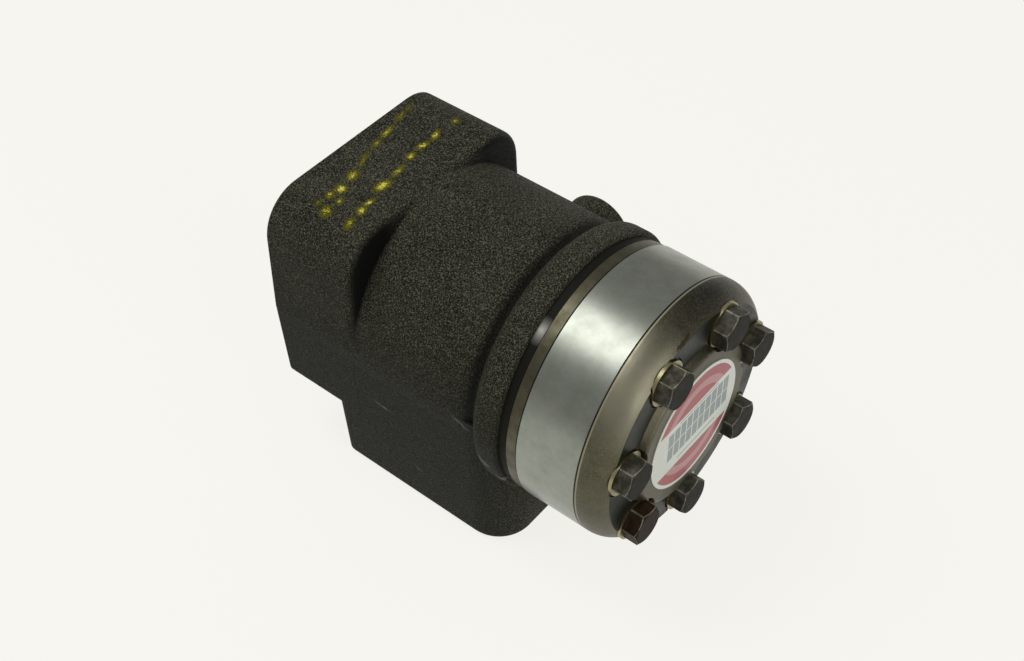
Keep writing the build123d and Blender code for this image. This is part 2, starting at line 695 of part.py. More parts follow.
# Cardan shaft: forked over the cross pin at one end, crowned teeth in the rotor
# at the other. It leans from the spool axis to the rotor's own centre.
lean = atan2(eccentricity, gear_middle - cross_pin_x)
drive_reach = (gear_middle - cross_pin_x) / cos(lean)
drive_root_radius = drive_tip_radius - drive_tooth_height
drive_pitch_radius = drive_tip_radius - drive_tooth_height / 2
pivot = (cross_pin_x, 0, 0)
lean_direction = (cos(lean), 0, sin(lean))
cardan_profile = Plane(origin=pivot, x_dir=lean_direction, z_dir=(0, -1, 0))
cardan_section = Plane(origin=pivot, x_dir=(0, 1, 0), z_dir=lean_direction)
button_end = cover_x - spacer_thickness - cross_pin_x - button_gap
with BuildPart() as cardan_shaft:
    with BuildSketch(cardan_profile):
        with BuildLine():
            head_side = sqrt(cardan_head_radius**2 - cardan_head_end**2)
            shank_start = sqrt(cardan_head_radius**2 - cardan_shank_radius**2)
            teeth_start = drive_reach - drive_length / 2
            teeth_end = drive_reach + drive_length / 2
            Line((-cardan_head_end, 0), (-cardan_head_end, head_side))
            ThreePointArc((-cardan_head_end, head_side), (0, cardan_head_radius),
                          (shank_start, cardan_shank_radius))
            Polyline((shank_start, cardan_shank_radius),
                     (teeth_start - 2 * drive_tooth_height, cardan_shank_radius),
                     (teeth_start, drive_root_radius), (teeth_end, drive_root_radius),
                     (teeth_end, button_radius), (button_end - button_edge, button_radius),
                     (button_end, button_radius - button_edge), (button_end, 0), (-cardan_head_end, 0))
        make_face()
    revolve(axis=Axis(pivot, lean_direction))
    with BuildSketch(cardan_section.offset(teeth_start)):
        for tooth in range(drive_teeth):
            with BuildLine():
                Polyline(*tooth_outline(drive_pitch_radius, drive_root_radius - tooth_root_overlap,
                                        drive_tip_radius, drive_teeth, drive_play,
                                        tooth * 360 / drive_teeth), close=True)
            make_face()
    extrude(amount=drive_length)
    with BuildSketch(cardan_profile) as crown:
        with BuildLine():
            crown_drop = drive_crown_radius - sqrt(drive_crown_radius**2 - (drive_length / 2) ** 2)
            ThreePointArc((teeth_start, drive_tip_radius - crown_drop), (drive_reach, drive_tip_radius),
                          (teeth_end, drive_tip_radius - crown_drop))
            Polyline((teeth_end, drive_tip_radius - crown_drop), (teeth_end, 2 * drive_tip_radius),
                     (teeth_start, 2 * drive_tip_radius), (teeth_start, drive_tip_radius - crown_drop))
        make_face()
    revolve(axis=Axis(pivot, lean_direction), mode=Mode.SUBTRACT)
    with BuildSketch(cardan_profile):
        fork_half = cross_pin_radius + cardan_slot_play
        with Locations((-cardan_head_radius + cardan_slot_extra, 0)):
            Rectangle(2 * cardan_head_radius, 2 * fork_half)
        with Locations((cardan_slot_extra, 0)):
            Circle(fork_half)
    extrude(amount=2 * cardan_head_radius, both=True, mode=Mode.SUBTRACT)
finish(cardan_shaft, "cardan_shaft")

rotor_centre = around(eccentricity, contact_angle + 180)
with BuildPart() as spacer:
    with BuildSketch(at(cover_x - end_play - spacer_thickness)):
        with Locations(rotor_centre):
            Circle(spacer_radius)
    extrude(amount=spacer_thickness)
    chamfer(edges().filter_by(GeomType.CIRCLE), face_chamfer / 2)
finish(spacer, "spacer")


# Gerotor
# Seven round lobes on the ring. Seen from the rotor each lobe's centre travels an
# epitrochoid, so the rotor is that curve moved inwards by the lobe's radius and
# the play, and it touches every lobe at once in every position.
def rotor_point(turn):
    """A point on the rotor's outline, turned so that a tooth meets the contact lobe."""
    x = lobe_circle * cos(turn) + eccentricity * cos(lobe_count * turn)
    y = lobe_circle * sin(turn) + eccentricity * sin(lobe_count * turn)
    along_x = -lobe_circle * sin(turn) - lobe_count * eccentricity * sin(lobe_count * turn)
    along_y = lobe_circle * cos(turn) + lobe_count * eccentricity * cos(lobe_count * turn)
    inward = (lobe_radius + gear_play) / sqrt(along_x**2 + along_y**2)
    x -= along_y * inward
    y += along_x * inward
    lie = radians(contact_angle)
    return (x * cos(lie) - y * sin(lie), x * sin(lie) + y * cos(lie))


rotor_teeth = lobe_count - 1
points_per_tooth = 14
rotor_outline = [rotor_point(2 * pi * i / (rotor_teeth * points_per_tooth))
                 for i in range(rotor_teeth * points_per_tooth)]
with BuildPart() as rotor:
    with BuildSketch(at(gear_x + end_play)):
        with Locations(rotor_centre):
            with BuildSketch(mode=Mode.PRIVATE) as rotor_face:
                with BuildLine():
                    Spline(*rotor_outline, periodic=True)
                make_face()
            add(rotor_face.sketch)
            Circle(drive_root_radius + drive_play, mode=Mode.SUBTRACT)
            for tooth in range(drive_teeth):
                with BuildSketch(mode=Mode.PRIVATE) as space:
                    with BuildLine():
                        Polyline(*tooth_outline(drive_pitch_radius, drive_root_radius,
                                                drive_tip_radius + drive_play, drive_teeth, 0,
                                                tooth * 360 / drive_teeth), close=True)
                    make_face()
                add(space.sketch, mode=Mode.SUBTRACT)
    extrude(amount=gear_width - 2 * end_play)
finish(rotor, "rotor")

chamber_radius = lobe_circle - lobe_radius + 2 * eccentricity + chamber_gap
with BuildPart() as gear_ring:
    with BuildSketch(at(gear_x)):
        Circle(ring_radius)
        Circle(chamber_radius, mode=Mode.SUBTRACT)
        with PolarLocations(lobe_circle, lobe_count, start_angle=screw_start):
            Circle(lobe_radius)
        chamber_corners = vertices().filter_by(lambda corner: corner.center().length < screw_circle)
        fillet(chamber_corners, chamber_fillet)
        with PolarLocations(screw_circle, screw_count, start_angle=screw_start):
            Circle(screw_hole_radius, mode=Mode.SUBTRACT)
    extrude(amount=gear_width)
    outer_edges = edges().filter_by(GeomType.CIRCLE).group_by(SortBy.RADIUS)[-1]
    chamfer(outer_edges, plate_edge)
    for face_x, depth in ((gear_x, o_ring_groove_depth), (cover_x, -o_ring_groove_depth)):
        with BuildSketch(at(face_x)):
            Circle(o_ring_circle + o_ring_groove_width / 2)
            Circle(o_ring_circle - o_ring_groove_width / 2, mode=Mode.SUBTRACT)
        extrude(amount=depth, mode=Mode.SUBTRACT)
finish(gear_ring, "gear_ring")

with BuildPart() as distributor_plate:
    with BuildSketch(at(plate_x)):
        Circle(plate_radius)
        Circle(plate_hole_radius, mode=Mode.SUBTRACT)
        with PolarLocations(screw_circle, screw_count, start_angle=screw_start):
            Circle(screw_hole_radius, mode=Mode.SUBTRACT)
        with PolarLocations(meter_circle, lobe_count, start_angle=chamber_start):
            Circle(meter_duct_radius, mode=Mode.SUBTRACT)
    extrude(amount=plate_thickness)
    chamfer(edges().filter_by(GeomType.CIRCLE).group_by(SortBy.RADIUS)[-1], plate_edge)
finish(distributor_plate, "distributor_plate")

# Static O-rings, one in each groove
for o_ring_name, o_ring_x in (("housing_o_ring", housing_length - o_ring_groove_depth / 2),
                              ("plate_o_ring", gear_x + o_ring_groove_depth / 2),
                              ("cover_o_ring", cover_x - o_ring_groove_depth / 2)):
    with BuildPart() as o_ring:
        with Locations(Location((o_ring_x, 0, 0), (0, 90, 0))):
            Torus(o_ring_circle, o_ring_wire)
    finish(o_ring, o_ring_name)

# End cover: a thick disc with a bull-nosed edge, a machined channel between the
# screws, a raised centre and a spot face under each washer
round_x = cover_x + cover_thickness - cover_round
round_r = ring_radius - cover_round
channel_x = cover_x + cover_channel
channel_outer = round_r + sqrt(cover_round**2 - (channel_x - round_x) ** 2)
round_middle = radians(degrees(asin((channel_x - round_x) / cover_round)) / 2)
with BuildPart() as end_cover:
    with BuildSketch(Plane.XY):
        with BuildLine():
            Polyline((channel_x, channel_outer), (channel_x, cover_hub_radius),
                     (cover_x + cover_hub_height, cover_hub_radius - cover_hub_round),
                     (cover_x + cover_hub_height, 0), (cover_x, 0), (cover_x, ring_radius - plate_edge),
                     (cover_x + plate_edge, ring_radius), (round_x, ring_radius))
            ThreePointArc((round_x, ring_radius),
                          (round_x + cover_round * sin(round_middle),
                           round_r + cover_round * cos(round_middle)),
                          (channel_x, channel_outer))
        make_face()
        hub_corner = (cover_x + cover_hub_height, cover_hub_radius - cover_hub_round)
        hub_edge = vertices().sort_by_distance(hub_corner)[0]
        fillet(hub_edge, cover_hub_round)
    revolve(axis=Axis.X)
    with BuildSketch(at(cover_x)):
        with PolarLocations(screw_circle, screw_count, start_angle=screw_start):
            Circle(screw_hole_radius)
    extrude(amount=cover_thickness, mode=Mode.SUBTRACT)
    with BuildSketch(at(seat_x)):
        with PolarLocations(screw_circle, screw_count, start_angle=screw_start):
            Circle(pocket_radius)
    extrude(amount=cover_thickness, mode=Mode.SUBTRACT)
finish(end_cover, "end_cover")

with BuildPart() as data_label:
    with BuildSketch(at(cover_x + cover_hub_height)):
        Circle(label_radius)
    extrude(amount=label_thickness)
finish(data_label, "data_label")

# One washer and one screw are made standing on the origin and then set in place
washer_x = seat_x + washer_thickness
engaged_x = housing_length - screw_engagement
with BuildPart() as cover_washers:
    with BuildSketch(at(seat_x)):
        with PolarLocations(screw_circle, screw_count, start_angle=screw_start):
            Circle(washer_outer)
            Circle(screw_hole_radius, mode=Mode.SUBTRACT)
    extrude(amount=washer_thickness)
finish(cover_washers, "cover_washers")

with BuildPart() as screw:
    with BuildSketch(Plane.XY):
        RegularPolygon(head_across_flats / 2, 6, major_radius=False)
    extrude(amount=head_height)
    with BuildSketch(Plane.XZ):
        with BuildLine():
            rim_drop = (head_across_flats - head_face_radius) * tan(radians(head_chamfer))
            Polyline((0, 0), (head_across_flats, 0), (head_across_flats, head_height - rim_drop),
                     (head_face_radius, head_height), (0, head_height), close=True)
        make_face()
    revolve(axis=Axis.Z, mode=Mode.INTERSECT)
    with BuildSketch(Plane.XY):
        Circle(screw_radius)
    extrude(amount=-(washer_x - housing_length - o_ring_groove_depth))
    with BuildSketch(Plane.XY):
        Circle(screw_tap_radius - thread_fit)
    extrude(amount=-(washer_x - engaged_x))
    chamfer(edges().group_by(Axis.Z)[0], face_chamfer)

head_turns = [10, 34, 22, 5, 47, 28, 16]
plain_spots = []
for place in range(screw_count):
    angle = screw_start + place * screw_step
    if place < screw_count - 1:
        plain_spots.append(Location((*around(screw_circle, angle), 0), (0, 0, head_turns[place])))
with BuildPart(at(washer_x)) as cover_screws:
    with Locations(*plain_spots):
        add(screw.part)
finish(cover_screws, "cover_screws")

# The special screw stands over the check valve and holds a rolled pin in its end
pin_end_x = check_ball_x + check_ball_radius + check_travel + seat_gap
pin_socket = 2 * rolled_pin_radius
with BuildPart(at(washer_x)) as special_screw:
    with Locations(Location((*check_spot, 0), (0, 0, head_turns[-1]))):
        add(screw.part)
    with BuildSketch(at(engaged_x)):
        with Locations(check_spot):
            Circle(rolled_pin_radius + running_fit)
    extrude(amount=pin_socket, mode=Mode.SUBTRACT)
finish(special_screw, "special_screw")

with BuildPart() as rolled_pin:
    with BuildSketch(at(pin_end_x)):
        with Locations(check_spot):
            Circle(rolled_pin_radius)
            Circle(rolled_pin_radius / 2, mode=Mode.SUBTRACT)
    extrude(amount=engaged_x + pin_socket - seat_gap - pin_end_x)
finish(rolled_pin, "rolled_pin")

# Check valve: a ball under a threaded bushing
with BuildPart() as check_bushing:
    with BuildSketch(at(bushing_end_x)):
        with Locations(check_spot):
            Circle(check_bushing_radius - thread_fit)
            Circle(screw_tap_radius, mode=Mode.SUBTRACT)
    extrude(amount=check_bushing_length)
finish(check_bushing, "check_bushing")


shock_ball_x = shock_length - seat_rise(shock_ball_radius, shock_bore_radius)
for ball_name, ball_radius, spot, ball_x in (
    ("check_ball", check_ball_radius, check_spot, check_ball_x),
    ("suction_ball_right", suction_ball_radius, suction_spots[0], suction_ball_x),
    ("suction_ball_left", suction_ball_radius, suction_spots[1], suction_ball_x),
    ("shock_ball_left", shock_ball_radius, shock_spots[0], shock_ball_x),
    ("shock_ball_right", shock_ball_radius, shock_spots[1], shock_ball_x),
):
    with BuildPart() as ball:
        with Locations((ball_x, *spot)):
            Sphere(ball_radius)
    finish(ball, ball_name)

suction_pin_x = suction_ball_x + suction_ball_radius + suction_travel + seat_gap
with BuildPart() as suction_pins:
    with BuildSketch(at(suction_pin_x)):
        with Locations(*suction_spots):
            Circle(suction_pin_radius)
    extrude(amount=engaged_x - seat_gap - suction_pin_x)
finish(suction_pins, "suction_pins")

# Relief valve and shock valves: plug, setting screw, spring, and a poppet or ball
poppet_back_x = relief_length + relief_bore_radius - poppet_radius - valve_gap * sqrt(2) - poppet_length
with BuildPart() as relief_poppet:
    with BuildSketch(Plane.XY):
        with BuildLine():
            guide = valve_spring_wire + seat_gap
            Polyline((poppet_back_x - poppet_length / 2, 0),
                     (poppet_back_x - poppet_length / 2, relief_spring_radius - 2 * guide),
                     (poppet_back_x, relief_spring_radius - 2 * guide),
                     (poppet_back_x, relief_bore_radius - running_fit),
                     (poppet_back_x + poppet_length / 2, relief_bore_radius - running_fit),
                     (poppet_back_x + poppet_length / 2, poppet_radius),
                     (poppet_back_x + poppet_length, poppet_radius),
                     (poppet_back_x + poppet_length + poppet_radius, 0), close=True)
        make_face()
    revolve(axis=Axis.X)
relief_poppet.part.locate(Location((0, *relief_spot)))
finish(relief_poppet, "relief_poppet")

setting_x = plug_recess + plug_length + setting_screw_gap
spring_start = setting_x + setting_screw_length
for valve_name, spots, bore, key_radius, coil_radius, coil_end in (
    ("relief", [relief_spot], relief_bore_radius, relief_key_radius, relief_spring_radius, poppet_back_x),
    ("shock", shock_spots, shock_bore_radius, shock_key_radius, shock_spring_radius,
     shock_ball_x - shock_ball_radius),
):
    for part_name, start_x, length in (("plug", plug_recess, plug_length),
                                       ("setting_screw", setting_x, setting_screw_length)):
        with BuildPart() as plug:
            with BuildSketch(at(start_x)):
                with Locations(*spots):
                    Circle(bore - thread_fit)
            extrude(amount=length)
            with BuildSketch(at(start_x)):
                with Locations(*spots):
                    RegularPolygon(key_radius, 6, major_radius=False)
            extrude(amount=length / 2, mode=Mode.SUBTRACT)
        finish(plug, f"{valve_name}_{part_name}s" if len(spots) > 1 else f"{valve_name}_{part_name}")
    coil_length = coil_end - spring_start - 2 * valve_spring_wire - 2 * seat_gap
    for spot, side_name in zip(spots, ("left", "right")):
        coil_start = spring_start + valve_spring_wire + seat_gap
        coil = Helix(coil_length / valve_spring_turns, coil_length, coil_radius,
                     center=(coil_start, *spot), direction=(1, 0, 0))
        with BuildPart() as spring:
            with BuildSketch(Plane(origin=coil @ 0, z_dir=coil % 0)):
                Circle(valve_spring_wire)
            sweep(path=coil, is_frenet=True)
        finish(spring, f"{valve_name}_spring_{side_name}" if len(spots) > 1 else f"{valve_name}_spring")
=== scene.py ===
# %% [markdown]
# # Dressing an orbital steering unit
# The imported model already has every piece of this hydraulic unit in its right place.
# In these cells it gets its surfaces: sand-cast iron, ground steel, black oxide
# screws, a printed label and a little marking paint. One frame holds for all of it:
# X runs along the spool axis from the column face to the end cover, Z is up, and
# lengths are metres.

# %% Load the frame
import bpy
import bmesh
import json
import math
from mathutils import Matrix, Vector

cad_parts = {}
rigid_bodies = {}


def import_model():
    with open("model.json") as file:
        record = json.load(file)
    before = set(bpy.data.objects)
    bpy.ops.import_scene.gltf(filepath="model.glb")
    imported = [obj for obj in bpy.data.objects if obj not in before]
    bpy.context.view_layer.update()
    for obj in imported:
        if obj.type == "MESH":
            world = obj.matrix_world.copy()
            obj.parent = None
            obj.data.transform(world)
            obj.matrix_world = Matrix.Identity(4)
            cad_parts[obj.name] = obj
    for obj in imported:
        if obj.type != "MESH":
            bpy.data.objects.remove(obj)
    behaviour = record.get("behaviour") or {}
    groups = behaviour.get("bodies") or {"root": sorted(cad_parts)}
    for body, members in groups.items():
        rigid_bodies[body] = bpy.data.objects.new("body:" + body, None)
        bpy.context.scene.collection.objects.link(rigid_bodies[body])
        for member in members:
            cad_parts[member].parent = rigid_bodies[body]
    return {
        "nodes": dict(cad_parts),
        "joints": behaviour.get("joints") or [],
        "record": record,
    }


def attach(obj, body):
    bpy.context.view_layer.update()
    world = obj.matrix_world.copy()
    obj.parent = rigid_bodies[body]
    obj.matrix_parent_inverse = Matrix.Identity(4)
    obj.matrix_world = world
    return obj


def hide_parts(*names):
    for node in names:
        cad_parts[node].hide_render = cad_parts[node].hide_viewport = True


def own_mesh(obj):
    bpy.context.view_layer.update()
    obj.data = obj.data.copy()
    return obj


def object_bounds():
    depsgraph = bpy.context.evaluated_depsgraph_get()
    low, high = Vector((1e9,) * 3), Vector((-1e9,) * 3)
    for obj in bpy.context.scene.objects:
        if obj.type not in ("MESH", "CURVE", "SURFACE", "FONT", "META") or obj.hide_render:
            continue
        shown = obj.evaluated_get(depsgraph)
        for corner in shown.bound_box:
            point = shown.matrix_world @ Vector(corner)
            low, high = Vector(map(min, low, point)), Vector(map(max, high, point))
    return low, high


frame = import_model()
cad_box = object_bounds()

# %% [markdown]
# ## Helpers
# Colours are easiest to choose as the hex values that a picture editor shows, but
# the shaders work with linear light, so one function converts them. A second one
# adds any node: its own settings are named arguments, and its inputs are plain
# values or the sockets of other nodes.

# %% Colour and node helpers
MM = 0.001


def linear(hex_colour):
    """Turns an sRGB hex value such as "#8a8468" into a linear RGBA colour."""
    levels = [int(hex_colour[i:i + 2], 16) / 255 for i in (1, 3, 5)]
    return tuple(v / 12.92 if v <= 0.04045 else ((v + 0.055) / 1.055) ** 2.4 for v in levels) + (1.0,)


def add(tree, kind, inputs=None, **settings):
    """Adds a node and returns it. Keys of inputs are socket names or numbers."""
    node = tree.nodes.new(kind)
    for name, value in settings.items():
        setattr(node, name, value)
    for key, value in (inputs or {}).items():
        if isinstance(value, bpy.types.NodeSocket):
            tree.links.new(value, node.inputs[key])
        else:
            node.inputs[key].default_value = value
    return node


def start_material(name, shader_values):
    """A new material with its shader, object coordinates and distance from the spool axis."""
    material = bpy.data.materials.new(name)
    material.use_nodes = True
    tree = material.node_tree
    tree.nodes.clear()
    shader = add(tree, "ShaderNodeBsdfPrincipled", shader_values)
    add(tree, "ShaderNodeOutputMaterial", {"Surface": shader.outputs[0]})
    place = add(tree, "ShaderNodeTexCoord").outputs["Object"]
    axes = add(tree, "ShaderNodeSeparateXYZ", {0: place})
    across = add(tree, "ShaderNodeVectorMath", {0: place, 1: (0, 1, 1)}, operation="MULTIPLY")
    radius = add(tree, "ShaderNodeVectorMath", {0: across.outputs[0]}, operation="LENGTH")
    return material, tree, shader, place, axes, radius.outputs["Value"]


print("cast skin in linear light:", [round(v, 4) for v in linear("#2d2d21")[:3]])

# %% [markdown]
# Three more helpers choose places on a surface. Each gives a socket that is 1 at the
# place and 0 elsewhere: `band` between two values, `spot` inside a turned ellipsoid,
# with a soft skin, and `either` where any one of several places is.

# %% Helpers that choose a place


def band(tree, value, low, high):
    """1 where the value lies between low and high, in millimetres."""
    above = add(tree, "ShaderNodeMath", {0: value, 1: low * MM}, operation="GREATER_THAN")
    below = add(tree, "ShaderNodeMath", {0: value, 1: high * MM}, operation="LESS_THAN")
    inside = add(tree, "ShaderNodeMath", {0: above.outputs[0], 1: below.outputs[0]}, operation="MULTIPLY")
    return inside.outputs[0]


def spot(tree, place, centre, halves, turn=(0.0, 0.0, 0.0)):
    """From 1 in the middle of an ellipsoid to 0 at its skin. Millimetres and degrees."""
    own = add(tree, "ShaderNodeMapping", {0: place, 1: [v * MM for v in centre],
                                          2: [math.radians(a) for a in turn],
                                          3: [v * MM for v in halves]}, vector_type="TEXTURE")
    far = add(tree, "ShaderNodeVectorMath", {0: own.outputs[0]}, operation="LENGTH")
    return add(tree, "ShaderNodeMapRange", {0: far.outputs["Value"], 1: 1.0, 2: 0.0}).outputs[0]


def either(tree, places):
    """The largest of several values."""
    largest = places[0]
    for other in places[1:]:
        largest = add(tree, "ShaderNodeMath", {0: largest, 1: other}, operation="MAXIMUM").outputs[0]
    return largest


def mixed(tree, factor, first, second):
    """A colour between two, each a hex value or a socket."""
    ends = [linear(end) if isinstance(end, str) else end for end in (first, second)]
    return add(tree, "ShaderNodeMix", {0: factor, 6: ends[0], 7: ends[1]}, data_type="RGBA").outputs[2]


print("helpers ready")

# %% [markdown]
# ## Sand-cast iron
# The housing is grey iron poured in a sand mould. Sand leaves a skin of rounded
# grains about half a millimetre across. Shot blasting and oil leave it dark olive
# grey, with black hollows and pale points where the top of a grain is rubbed bare.
# The lower part of each side lay against smooth mould faces, so the grain fades there, and those sides are
# painted darker as shade.
# Oil and oxide keep the skin from shining, so its specular level is low. Every pattern's
# scale is one over the width that its patches have on the real thing.

# %% Cast skin
GRAIN_WIDTH = 0.4762 * MM
MOULD_WAVE = 22.22 * MM
SMOOTH_SIDE = 34.0 * MM  # the grain fades outside this y
SMOOTH_TOP = 26.0 * MM   # and below this z
iron, tree, shader, place, axes, radius = start_material("sand-cast grey iron, oiled",
                                                         {"IOR": 1.5, "Specular IOR Level": 0.12})
grain = add(tree, "ShaderNodeTexNoise", {"Vector": place, "Scale": 1 / GRAIN_WIDTH, "Detail": 3.0,
                                         "Roughness": 0.7})
wave = add(tree, "ShaderNodeTexNoise", {"Vector": place, "Scale": 1 / MOULD_WAVE, "Detail": 3.0})
side = add(tree, "ShaderNodeMath", {0: axes.outputs["Y"]}, operation="ABSOLUTE")
outer = add(tree, "ShaderNodeMapRange", {0: side.outputs[0], 1: SMOOTH_SIDE, 2: SMOOTH_SIDE + 10.0 * MM})
lower = add(tree, "ShaderNodeMapRange", {0: axes.outputs["Z"], 1: SMOOTH_TOP, 2: SMOOTH_TOP - 34.0 * MM})
smooth = add(tree, "ShaderNodeMath", {0: outer.outputs[0], 1: lower.outputs[0]}, operation="MULTIPLY")
coarse_skin = add(tree, "ShaderNodeMapRange", {0: smooth.outputs[0], 3: 1.0, 4: 0.3})
print("smooth sides: outside y", round(SMOOTH_SIDE / MM), "and below z", round(SMOOTH_TOP / MM), "mm")

# %% [markdown]
# The colour has four layers: an olive skin in two tones that follow the mould's waves, a darker colour
# painted on the smooth lower sides as their shade, black hollows between the grains and pale tops.

# %% Colour of the cast skin
tone = add(tree, "ShaderNodeMapRange", {0: wave.outputs[0], 1: 0.38, 2: 0.62})
upper_skin = mixed(tree, tone.outputs[0], "#2d2d21", "#3b3a2d")
# the smooth lower sides are painted darker here as shade
skin = mixed(tree, smooth.outputs[0], upper_skin, "#191911")
hollow = add(tree, "ShaderNodeMapRange", {0: grain.outputs[0], 1: 0.50, 2: 0.41})
dark = add(tree, "ShaderNodeMath", {0: hollow.outputs[0], 1: coarse_skin.outputs[0]}, operation="MULTIPLY")
top = add(tree, "ShaderNodeMapRange", {0: grain.outputs[0], 1: 0.53, 2: 0.62})
pale = add(tree, "ShaderNodeMath", {0: top.outputs[0], 1: coarse_skin.outputs[0]}, operation="MULTIPLY")
shaded = mixed(tree, dark.outputs[0], skin, "#0e0e09")
all_over = mixed(tree, pale.outputs[0], shaded, "#747363")
print("grain width in mm:", round(GRAIN_WIDTH / MM, 2))

# %% [markdown]
# Shade is painted into the corner between the flange and the barrel, on the stretches where the flange stands
# above the barrel. The mask follows X across the corner and leaves out the middle, where the flange and the
# barrel are level. The waist before the rear ring is a second hollow that is painted dark as shade, and there
# the mask follows the radius.

# %% Painted shade in the hollows
SHADE_START, SHADE_FULL, SHADE_THIN, SHADE_END = 37.4 * MM, 38.9 * MM, 39.2 * MM, 40.6 * MM
WAIST_SHADE_RADIUS = 45.7 * MM
near_wall = add(tree, "ShaderNodeMapRange", {0: axes.outputs["X"], 1: SHADE_START, 2: SHADE_FULL})
off_wall = add(tree, "ShaderNodeMapRange", {0: axes.outputs["X"], 1: SHADE_END, 2: SHADE_THIN})
off_middle = add(tree, "ShaderNodeMapRange", {0: side.outputs[0], 1: 9.0 * MM, 2: 26.0 * MM})
over_parting = add(tree, "ShaderNodeMapRange", {0: axes.outputs["Z"], 1: 2.0 * MM, 2: 14.0 * MM})
# this mask is painted shade in the corner by the flange, not real oil
oil = near_wall.outputs[0]
for part in (off_wall, off_middle, over_parting):
    oil = add(tree, "ShaderNodeMath", {0: oil, 1: part.outputs[0]}, operation="MULTIPLY").outputs[0]
# painted shade in the waist before the rear ring
deep = add(tree, "ShaderNodeMapRange", {0: radius, 1: WAIST_SHADE_RADIUS, 2: WAIST_SHADE_RADIUS - 1.0 * MM})
on_waist = band(tree, axes.outputs["X"], 60.0, 97.0)
painted_waist_shade = add(tree, "ShaderNodeMath", {0: deep.outputs[0], 1: on_waist}, operation="MULTIPLY")
waist_shade_amount = add(tree, "ShaderNodeMath", {0: painted_waist_shade.outputs[0], 1: 0.8}, operation="MULTIPLY")
# both hollows are painted near black as shade
with_hollow_shade = mixed(tree, either(tree, [oil, waist_shade_amount.outputs[0]]), all_over, "#080805")
print("width of the oil band in mm:", round((SHADE_END - SHADE_START) / MM, 1))

# %% [markdown]
# Where a cutter passed, the same casting is bare: the column face, the port face, the bores, the boss and the
# turned edge against the plate. That edge is painted black as shade from the rear ring, apart from one bare
# stretch that is painted bright as its reflection. The rear ring and the flat side also have a few shiny rubs
# from handling.

# %% Machined faces and rubs
RUB_PATCH = 1.923 * MM
turned_edge = band(tree, axes.outputs["X"], 103.02, 106.3)
boss_face = add(tree, "ShaderNodeMath", {0: band(tree, axes.outputs["Y"], 47.9, 49.0),
                                         1: band(tree, axes.outputs["X"], 60.0, 87.0)}, operation="MULTIPLY")
machined = either(tree, [
    band(tree, axes.outputs["X"], -1.0, 0.3),  # column face
    band(tree, radius, -1.0, 22.7),  # bores along the spool axis
    band(tree, axes.outputs["Z"], -66.0, -65.4),  # port face
    boss_face.outputs[0],
])
# middle, half sizes and turn of each rub, in millimetres and degrees
rub_places = either(tree, [
    spot(tree, place, (96.5, -46.0, -11.5), (7.5, 5.0, 2.6), (0.0, 48.0, 0.0)),
    spot(tree, place, (102.5, -44.5, -20.0), (6.0, 5.0, 2.0), (0.0, 50.0, 0.0)),
    spot(tree, place, (86.0, -46.5, -2.0), (8.0, 4.0, 1.3), (0.0, 31.0, 0.0)),
    spot(tree, place, (48.5, -45.5, -21.5), (7.0, 4.0, 1.1), (0.0, 5.0, 0.0)),
    spot(tree, place, (62.0, -44.0, -46.5), (4.0, 4.0, 0.6), (0.0, 24.0, 0.0)),
])
patchy = add(tree, "ShaderNodeTexNoise", {"Vector": place, "Scale": 1 / RUB_PATCH, "Detail": 4.0,
                                          "Roughness": 0.7})
rub_sum = add(tree, "ShaderNodeMath", {0: rub_places, 1: patchy.outputs[0]}, operation="ADD")
rub = add(tree, "ShaderNodeMapRange", {0: rub_sum.outputs[0], 1: 0.80, 2: 1.45, 4: 0.7})
# one bare stretch of the turned edge is painted bright as its reflection
edge_glint_place = spot(tree, place, (104.6, -26.5, 38.5), (6.0, 12.5, 5.0), (-37.0, 0.0, 0.0))
edge_rub_and_glint = add(tree, "ShaderNodeMath", {0: edge_glint_place, 1: turned_edge}, operation="MULTIPLY")
# the turned edge is painted near black as shade from the rear ring
edge_painted_shade = mixed(tree, turned_edge, with_hollow_shade, "#16160f")
rubbed = mixed(tree, rub.outputs[0], edge_painted_shade, "#77786f")
with_edge_glint = mixed(tree, edge_rub_and_glint.outputs[0], rubbed, "#8f8f88")
surface = mixed(tree, machined, with_edge_glint, "#8b8a82")
bare = either(tree, [machined, rub.outputs[0], edge_rub_and_glint.outputs[0]])
print("machined and rubbed places:", len(tree.nodes), "nodes so far")

# %% [markdown]
# ## Marking paint
# Two yellow lines were drawn over the rough top of the flange. The paint caught only
# high grains, so each line is a row of dabs. Every dab is a spot with its own length,
# width and load of paint. Noise breaks its edge, and inside it the paint is bright
# where it sits on a grain and olive where it ran thin.

# %% Marking paint on the flange
PAINT_FLECK = 0.6667 * MM
FLANGE_TOP = 46.0
